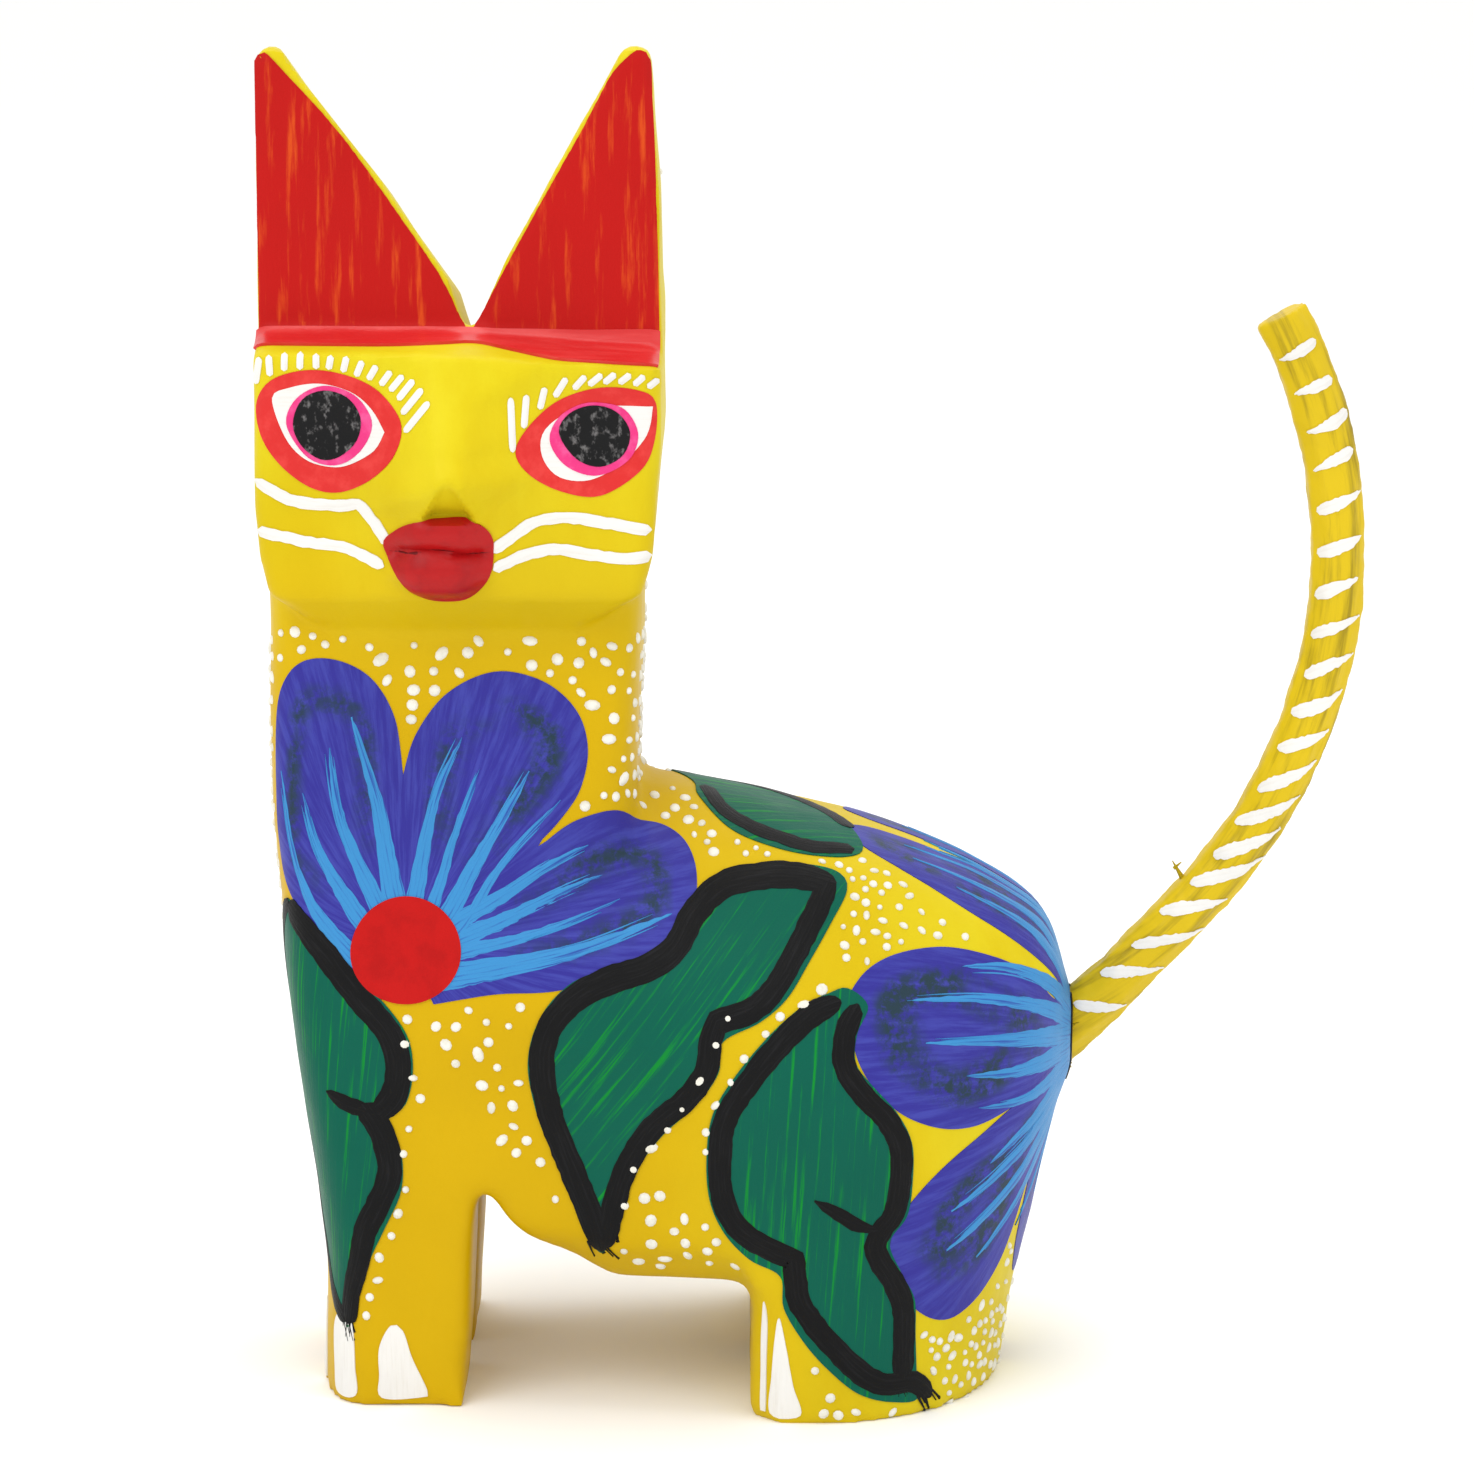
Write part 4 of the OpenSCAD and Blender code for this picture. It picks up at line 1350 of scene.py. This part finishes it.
@dataclass
class RumpFlower:
    """The flower round the tail: six blue lobes with light blue strokes that meet at the socket."""

    painter: Painter
    heart: float = 5.2
    seed: int = 3

    def build(self) -> None:
        """Paints all its lobes and strokes, and a dark ring round the tail, painted shadow of the gap."""
        side = [(4.4, 4.4), (9.6, 6.6), (14, 9), (17.9, 13.4), (24.2, 18.8), (31.8, 24), (40, 26),
                (46.6, 24), (51.4, 18), (52.4, 6.6), (49, -2), (42.8, -7.2), (34, -8.6), (21.4, -4.6), (8, 0)]
        low = [(5, -2), (13.6, -1.4), (26, -6.4), (36, -14.4), (40.6, -23), (40, -29.4), (36, -33.6),
               (29.6, -35.4), (23.8, -34), (18.4, -29), (15.6, -19), (10, -8)]
        top = [(3, 5), (13, 13.4), (19.4, 21.8), (22.4, 32.8), (21.6, 43.4), (17, 50.6), (10.4, 53), (5, 50),
               (3, 42), (2.2, 28), (1.2, 14)]
        bottom = [(3, -5), (9, -10), (13.6, -15), (15, -21), (13.4, -28), (9.8, -31.6), (6.8, -30),
                  (5.8, -25), (5, -18), (2.4, -11)]
        draw = random.Random(self.seed)
        strokes = []
        for flank in Side:
            chart = RumpChart(side=flank)
            name = flank.name.lower()
            for lobe, outline, lift, scrub in (("side", side, 0.13, (3.5, 12)), ("low", low, 0.14, (3.5, 11)),
                                               ("top", top, 0.12, (3, 9)), ("bottom", bottom, 0.12, (3, 8))):
                self.painter.patch(f"{name}_rump_lobe_{lobe}", outline, chart, lift, BLUE, centre=(0, 0),
                                   scrub=scrub)
            for axis, spread, reaches in (((0.28, 0.96), 14, (36, 43, 44, 40)), ((0.32, -0.95), 9, (20, 24,
                                                                                                    19)),
                                          ((0.98, 0.19), 24, (33, 35, 42, 45, 36)),
                                          ((0.74, -0.67), 17, (30, 38, 42, 40, 32))):
                strokes += self.fan(chart, axis, spread, reaches, draw)
        self.painter.join("rump_flower_strokes", strokes)
        ring = [(self.heart * 0.9 * math.sin(a), self.heart * 1.25 * math.cos(a)) for a in turns(16)]
        # A dark ring round the socket: painted shadow of the gap round the tail.
        self.painter.stroke("socket_edge", [*ring, ring[0]], 1.3, Taper.EVEN, RumpChart(), 0.5, GAP_SHADOW,
                            spacing=0.9, wobble=0.3, seed=9)

    def fan(self, chart: Chart, axis: Point, spread: float, reaches: Sequence[float],
            draw: random.Random) -> list[Piece]:
        """Draws one lobe's strokes, fanned out about its axis.

        Args:
            chart: how they are laid on the wood.
            axis: the lobe's direction from the socket.
            spread: half of the fan's angle, in degrees.
            reaches: how far each stroke's end is from the socket, in millimetres.
            draw: the source of unevenness.

        Returns:
            The strokes.
        """
        middle_angle = math.atan2(axis[1], axis[0])
        strokes = []
        for k, reach in enumerate(reaches):
            share = 2 * k / (len(reaches) - 1) - 1
            angle = middle_angle + math.radians(spread * share + draw.uniform(-2, 2))
            start = middle_angle + math.radians(spread * share * 1.35)
            path = [(self.heart * math.cos(start), self.heart * math.sin(start))]
            for part, lean in ((0.4, 1.12), (0.75, 1.0), (1.0, 0.86)):
                turn = middle_angle + (angle - middle_angle) * lean
                path.append((reach * part * math.cos(turn), reach * part * math.sin(turn)))
            strokes += dry_stroke(self.painter, path, draw.uniform(3.3, 4.4), chart, 0.22, SKY, seed=40 + k)
        return strokes


@dataclass(frozen=True)
class Leaf:
    """One leaf: a green fill and the black strokes that draw it.

    Attributes:
        name: its place on the cat.
        fill: outline of the green.
        strokes: the black strokes' paths, widths and tapers.
        grain: angle of its brush marks, in degrees.
        tips: where bristles leave the stroke's end and which way, in degrees.
        bristles: how many leave each end.
    """

    name: str
    fill: Sequence[Point]
    strokes: Sequence[tuple[Sequence[Point], float, Taper]]
    grain: float
    tips: Sequence[tuple[Point, float]] = ()
    bristles: int = 7

    def paint(self, painter: Painter, chart: Chart) -> None:
        """Paints the leaf on a chart."""
        side = chart.side.name.lower()
        painter.patch(f"{side}_{self.name}_green", self.fill, chart, 0.2, GREEN, grain=self.grain)
        parts = [painter.stroke("black", path, width, taper, chart, 0.33, BLACK, wobble=0.1, seed=k,
                                spacing=1.0)
                 for k, (path, width, taper) in enumerate(self.strokes)]
        draw = random.Random(len(self.fill))
        for (x, y), way in self.tips:
            for _ in range(self.bristles):
                angle = math.radians(way + draw.uniform(-16, 16))
                start = (x + draw.uniform(-1.2, 1.2), y + draw.uniform(-1.0, 1.0))
                reach = draw.uniform(2.0, 4.0)
                end = (start[0] + reach * math.cos(angle), start[1] + reach * math.sin(angle))
                parts.append(painter.stroke("bristle", [start, middle(start, end), end],
                                            draw.uniform(0.3, 0.6), Taper.POINTED, chart, 0.28, BLACK,
                                            across=2))
        painter.join(f"{side}_{self.name}_outline", parts)


FORELEG_LEAF = Leaf(
    "foreleg_leaf",
    [(-33, 77), (-28.8, 77.8), (-20, 73.2), (-15.4, 69), (-10, 64), (-6.2, 58.5), (-5.5, 53), (-6.8, 47.5),
     (-9.8, 44.4), (-7.6, 40), (-7.6, 34), (-10, 28.4), (-12.6, 23), (-14.8, 17), (-16.6, 12.2),
     (-18.8, 13), (-25, 17), (-33, 26), (-39, 38), (-42, 52), (-40, 66), (-34, 76)],
    (([(-30, 77.2), (-28.9, 76.7), (-23.8, 74.4), (-19.2, 71), (-16.4, 68), (-12.2, 63), (-8.9, 58.8),
       (-7.7, 54), (-8.6, 48.8), (-11.2, 46)], 4.0, Taper.EVEN),
     ([(-19.4, 49.4), (-15.4, 47.4), (-11, 46)], 2.6, Taper.LENS),
     ([(-13.2, 47.6), (-10.4, 43), (-9.3, 37), (-11, 32.2), (-13.4, 27.4), (-14.6, 22.6), (-16.3, 17.6),
       (-17.2, 12.6)],
      3.8, Taper.EVEN),
     ([(-29.5, 77.6), (-34, 74.4), (-38.4, 66), (-40.4, 52), (-37.4, 38), (-31, 25.6), (-24, 17.6),
       (-17.6, 12.8)],
      2.8, Taper.EVEN)),
    82, (((-17.6, 14.5), -84),))

FLANK_LEAF = Leaf(
    "flank_leaf",
    [(87.6, 29.6), (86.6, 32.2), (82.5, 33.2), (75, 33.2), (68.3, 31.6), (63.2, 27.4), (60.6, 22.6),
     (57, 20.4), (51.8, 19), (46, 16.8), (41.6, 12), (39.8, 5), (41.2, -3.6), (44.8, -12.6), (48, -20),
     (50.8, -25), (53.4, -18), (56, -11.6), (60, -5.8), (65, -1), (68.4, 4), (69, 8.4), (74.6, 11.2),
     (78.6, 14.4), (81.8, 19.2), (85, 24.6)],
    (([(86, 30.4), (80.1, 31.5), (75, 31.4), (68.9, 30), (64.6, 26), (62, 21.6), (57.8, 18.9), (52.2, 17.3),
       (47.1, 15), (43.2, 10.8), (41.9, 5), (43.1, -3), (46.3, -11.6), (49, -18.4),
       (50.9, -24.6)], 3.9, Taper.EVEN),
     ([(85.2, 31.2), (82.7, 26), (79.7, 20.4), (76.8, 15.9), (73.4, 12.9), (68.2, 11.3), (68.2, 11.3),
       (67.2, 8.6), (66.6, 4.5), (63.6, 0), (58.6, -4.5), (54.8, -10.5), (52.8, -16.4),
       (51, -24)], 3.5, Taper.EVEN)),
    52, (((49.8, -22), -62), ((52.2, -19), -98)))

HAUNCH_LEAF = Leaf(
    "haunch_leaf",
    [(87.6, 15.8), (84.6, 15), (81, 13.4), (76.2, 9.6), (71.2, 4), (67.6, -2), (66.6, -8.6), (67, -15.4),
     (69.2, -20.6), (73, -24.6), (77.6, -27), (78.2, -32), (81.2, -37.2), (85, -41.6), (89.4, -45.4),
     (94.2, -47.2), (98.4, -47.4), (98.2, -43), (98, -37.4), (97.8, -31.4), (95.8, -27), (94, -22),
     (96.6, -18), (97.4, -12.4), (97.2, -6.6), (94.8, -1.6), (91.2, 2.4), (88.8, 5.6), (89, 9.6),
     (90.6, 13.4)],
    (([(86.6, 14), (82.3, 12.2), (77.6, 8.2), (72.9, 2.7), (69.5, -2.9), (68.6, -8.4), (68.8, -14.1),
       (70.5, -18.7), (74, -21.8), (79.6, -24.2), (79.6, -24.2), (79.9, -27), (80.4, -30.6), (82.9, -34.6),
       (86.3, -38.6), (89.8, -42.2), (93.3, -44.3), (97.6, -44.6), (100.4, -47.6)], 3.5, Taper.EVEN),
     ([(89.2, 13.6), (87.2, 9.6), (87.2, 5), (90, 0.9), (93.4, -2.8), (95.5, -7.3), (95.5, -12.7),
       (94.6, -17.4), (92.6, -20.2), (91.8, -22.4), (92.4, -24.6), (94.4, -28), (96, -32.2), (96.2, -37.7),
       (96, -44)], 3.3, Taper.EVEN),
     ([(82.7, -15), (86.2, -17.1), (89.6, -19.2), (93, -20)], 2.2, Taper.LENS)),
    86, (((99.4, -46), -66), ((96.2, -43), -88)))

BACK_LEAF = Leaf(
    "back_leaf",
    [(60.6, 58), (64.4, 50.5), (65.2, 45.6), (69, 39.8), (74, 36.8), (81, 35), (87.6, 35.6), (90.2, 39),
     (88, 47), (84.6, 54), (79, 60), (71, 62.6), (64, 61.5)],
    (([(66.2, 49.6), (68.6, 43.4), (72.6, 40), (77.5, 37.8), (82.6, 36.6), (88.8, 37.8)], 2.6, Taper.EVEN),
     ([(61, 57.6), (66, 60.4), (72, 60.8), (79, 58), (84, 53), (88.4, 45)], 2.6, Taper.EVEN)),
    20)

CHEST_LEAF = Leaf(
    "chest_leaf",
    [(-54, 103), (-50.6, 96), (-47.4, 88), (-46.6, 80), (-48.6, 72), (-51.6, 65), (-54, 57), (-56.4, 65),
     (-59.4, 72), (-61.4, 80), (-60.6, 88), (-57.4, 96)],
    (([(-54, 101.6), (-51.6, 95), (-49, 87.6), (-48.2, 80), (-50.2, 72.4), (-53, 65),
       (-54, 58)], 2.8, Taper.EVEN),
     ([(-54, 101.6), (-56.4, 95), (-59, 87.6), (-59.8, 80), (-57.8, 72.4), (-55, 65),
       (-54, 58)], 2.8, Taper.EVEN),
     ([(-54, 92), (-54.6, 84), (-54, 74)], 1.8, Taper.LENS)),
    90, (((-54, 60), -90),))


@dataclass
class NapeFlower:
    """A five-petalled flower on the back of the head, in the manner of the other flowers."""

    painter: Painter
    centre: Point = (28, 136)
    reach: float = 20.5

    def build(self) -> None:
        """Paints the petals, strokes and heart."""
        chart = Chart(side=Side.OTHER)
        strokes = []
        for k, angle in enumerate(turns(5)):
            way = angle + math.pi / 2
            outline = [self.spot(way, along, aside) for along, aside in
                       ((2, 0), (7, -3.6), (12, -6.2), (16, -4.6), (17.5, 0), (16, 4.6), (12, 6.2), (7, 3.6))]
            self.painter.patch(f"nape_petal_{k + 1}", outline, chart, 0.13, BLUE, centre=self.centre,
                               scrub=(2, 6))
            for lean in (-0.2, 0.02, 0.22):
                path = [self.spot(way + lean, along, 0) for along in (3, 7.5, 12.5)]
                strokes += dry_stroke(self.painter, path, 1.8, chart, 0.22, SKY, seed=70 + k)
        self.painter.join("nape_flower_strokes", strokes)
        heart = [(self.centre[0] + 5 * math.cos(a), self.centre[1] + 5 * math.sin(a)) for a in turns(10)]
        self.painter.patch("nape_flower_heart", heart, chart, 0.3, RED, step=1.0)

    def spot(self, way: float, along: float, aside: float) -> Point:
        """Returns the point along and aside of a direction from the flower's centre."""
        share = self.reach / 17.5
        return (self.centre[0] + share * (along * math.cos(way) - aside * math.sin(way)),
                self.centre[1] + share * (along * math.sin(way) + aside * math.cos(way)))


@dataclass
class Claws:
    """White claws on all four paws."""

    painter: Painter

    def build(self) -> None:
        """Paints the claws of both sides."""
        fore = (
            [(-21, 1.4), (-22.2, 5), (-22.6, 11), (-20, 14), (-17.6, 14.4), (-16, 12.4), (-15.6, 6),
             (-15.5, 1.4)],
            [(-11, 1.4), (-11.3, 5), (-11.2, 9.4), (-9.4, 12.8), (-7.6, 12), (-6.2, 7.6), (-4, 2.4),
             (-5, 1.4)],
            [(-38, 1.4), (-38.6, 6), (-37.6, 11.6), (-35.6, 13.4), (-33.4, 11.6), (-32.6, 6), (-32.6, 1.4)],
        )
        hind = (
            [(76.2, 1.4), (76.2, 8), (76.3, 15), (76.9, 18.6), (77.4, 15), (77.3, 8), (77.2, 1.4)],
            [(78.2, 1.4), (78.4, 7), (78.8, 13), (79.4, 16.4), (80.4, 12), (81.4, 6), (82.3, 1.4)],
        )
        for side in Side:
            name = side.name.lower()
            for k, outline in enumerate(fore):
                self.paint_claw(f"{name}_fore_claw_{k + 1}", outline, PostChart(side=side))
            for k, outline in enumerate(hind):
                self.paint_claw(f"{name}_hind_claw_{k + 1}", outline, Chart(right=(TILT, -TILT, 0),
                                                                            side=side))

    def paint_claw(self, name: str, outline: Sequence[Point], chart: Chart) -> None:
        """Paints one claw with upright brush marks."""
        self.painter.patch(name, outline, chart, 0.2, WHITE, grain=90, step=1.0)


def paint_dots(painter: Painter) -> None:
    """Covers the bare yellow round the flowers and leaves with white dots."""
    dots = DotWork(painter)
    dots.start()
    for side in Side:
        post, barrel, rump = PostChart(side=side), BarrelChart(side=side), RumpChart(side=side)
        dots.row(post, [(-5.9, 61.2), (-6.3, 57), (-5.6, 52), (-4.6, 48), (-6.3, 43.2), (-7, 40),
                        (-7, 34.4), (-8.2, 30.4), (-9.5, 27), (-10.9, 23.4), (-11.2, 19.5), (-12.6, 16.8),
                        (-13.4, 13.9)], 3.9, 0.4)
        dots.scatter(post, [(-34, 119), (-34, 112), (-22, 113), (-13, 108), (-7.6, 98), (0, 112), (12, 115),
                            (24, 110), (30, 92), (38, 92), (38, 117.5), (0, 117.5)], 3.0)
        dots.scatter(post, [(38, 94), (38, 117), (54, 117), (54, 94)], 3.6)
        dots.scatter(Chart(up=SHOULDER_UP, side=side),
                     [(42, 66), (47, 74), (53, 78), (58, 76), (66, 73), (70, 66), (66, 62), (58, 66),
                      (48, 64)], 2.9)
        dots.scatter(barrel, [(59, 52), (66, 40), (82, 34), (92, 36), (108, 24), (100, 16), (84, 30),
                              (70, 33), (64, 38)],
                     2.5, 1.1, 0.78)
        dots.scatter(barrel, [(84, 36), (92, 32), (104, 22), (98, 14), (92, 12), (88, 18),
                              (84, 30)], 2.4, 1.0, 0.78)
        dots.scatter(barrel, [(23, 14.5), (40, 14.5), (39.5, 4), (41, -4), (44, -14), (46, -20), (40, -14),
                              (33, -4), (27, 8)], 3.4)
        dots.row(barrel, [(69.6, 12), (66, 3), (60.6, -5), (56, -11), (54, -17)], 4.4, 0.5)
        dots.row(barrel, [(84, 15.6), (78, 11.6), (72.6, 6.6), (68, -0.6), (66, -8)], 4.0, 0.6)
        dots.scatter(barrel, [(54, -14), (64, -16), (72, -24), (74, -27), (60, -28), (52, -27)], 3.2)
        dots.scatter(barrel, [(77, -34), (79, -31), (88, -44), (96, -49), (78, -49)], 3.0)
        dots.scatter(barrel, [(98.6, -29), (104, -34), (112, -38), (118, -34), (118, -49),
                              (99, -49)], 2.3, 1.6, 0.8)
        dots.scatter(rump, [(15, -21), (19, -31), (24, -37), (17, -46), (12, -42),
                            (14.6, -33)], 2.3, 1.6, 0.8)
        dots.scatter(post, [(-54, 117), (-36, 117), (-36, 80), (-44, 60), (-54, 55)], 3.2)
    back = Chart(side=Side.OTHER)
    dots.scatter(back, [(1.5, 118), (1.5, 172), (4, 198), (19, 174), (29, 157), (34, 157), (43, 174),
                        (53, 198), (58, 172), (58, 118)], 3.8)
    dots.finish("white_dots")


@dataclass
class Studio:
    """A plain white floor, soft light and the camera."""

    aim: tuple[float, float, float] = (-0.012236, 0.0, 0.0985)
    distance: float = 0.8
    pitch: float = 11.0
    lens: float = 126.9

    def build(self) -> None:
        """Sets up floor, world, lights and camera."""
        self.set_floor()
        self.set_world(1.03)
        self.set_light("key", (-0.55, -0.75, 0.95), 0.9, 4.6)
        self.set_light("fill", (0.75, -0.7, 0.55), 0.8, 1.2)
        self.set_light("top", (0.0, 0.15, 1.2), 0.8, 4.0)
        self.set_camera()
        bpy.context.scene.view_settings.view_transform = "Standard"

    def set_floor(self) -> None:
        """Lays a flat white floor under the cat."""
        bpy.ops.object.select_all(action="DESELECT")
        bpy.ops.mesh.primitive_plane_add(size=40)
        floor = bpy.context.object
        floor.name = "floor"
        material = bpy.data.materials.new("white_sweep")
        material.use_nodes = True
        shader = material.node_tree.nodes["Principled BSDF"]
        shader.inputs["Base Color"].default_value = (0.98, 0.975, 0.96, 1)
        shader.inputs["Roughness"].default_value = 0.9
        shader.inputs["Specular IOR Level"].default_value = 0.1
        floor.data.materials.append(material)

    def set_world(self, strength: float) -> None:
        """Surrounds the cat with even white light."""
        world = bpy.data.worlds.new("studio")
        world.use_nodes = True
        background = world.node_tree.nodes["Background"]
        background.inputs["Color"].default_value = (1, 1, 1, 1)
        background.inputs["Strength"].default_value = strength
        bpy.context.scene.world = world

    def set_light(self, name: str, spot: tuple[float, float, float], size: float, power: float) -> None:
        """Hangs one soft square light that faces the cat."""
        lamp = bpy.data.lights.new(name, "AREA")
        lamp.size = size
        lamp.energy = power
        light = bpy.data.objects.new(name, lamp)
        light.location = spot
        light.rotation_euler = (Vector(self.aim) - Vector(spot)).to_track_quat("-Z", "Y").to_euler()
        bpy.context.scene.collection.objects.link(light)

    def set_camera(self) -> None:
        """Places the camera a little above, looking along the cat's side."""
        pitch = math.radians(self.pitch)
        camera = bpy.data.objects.new("camera", bpy.data.cameras.new("camera"))
        camera.data.lens = self.lens
        camera.location = Vector(self.aim) + self.distance * Vector((0, -math.cos(pitch), math.sin(pitch)))
        camera.rotation_euler = (math.radians(90) - pitch, 0, 0)
        bpy.context.scene.collection.objects.link(camera)
        bpy.context.scene.camera = camera


def main() -> None:
    """Builds the cat, piece by piece, and the studio round it."""
    logging.basicConfig(level=logging.INFO, format="%(name)s: %(message)s")
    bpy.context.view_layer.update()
    shop = PaintShop()
    Studio().build()
    skin = CarvedBlock(shop).build()
    painter = Painter(skin, shop, Body.FIGURE)
    Face(painter).build()
    for side in Side:
        FrontFlower(painter, side).build()
        FORELEG_LEAF.paint(painter, PostChart(side=side))
        FLANK_LEAF.paint(painter, BarrelChart(side=side))
        HAUNCH_LEAF.paint(painter, BarrelChart(side=side))
    RumpFlower(painter).build()
    BACK_LEAF.paint(painter, BarrelChart())
    CHEST_LEAF.paint(painter, PostChart())
    NapeFlower(painter).build()
    Claws(painter).build()
    paint_dots(painter)
    TwigTail(shop).build()


if __name__ == "__main__":
    main()
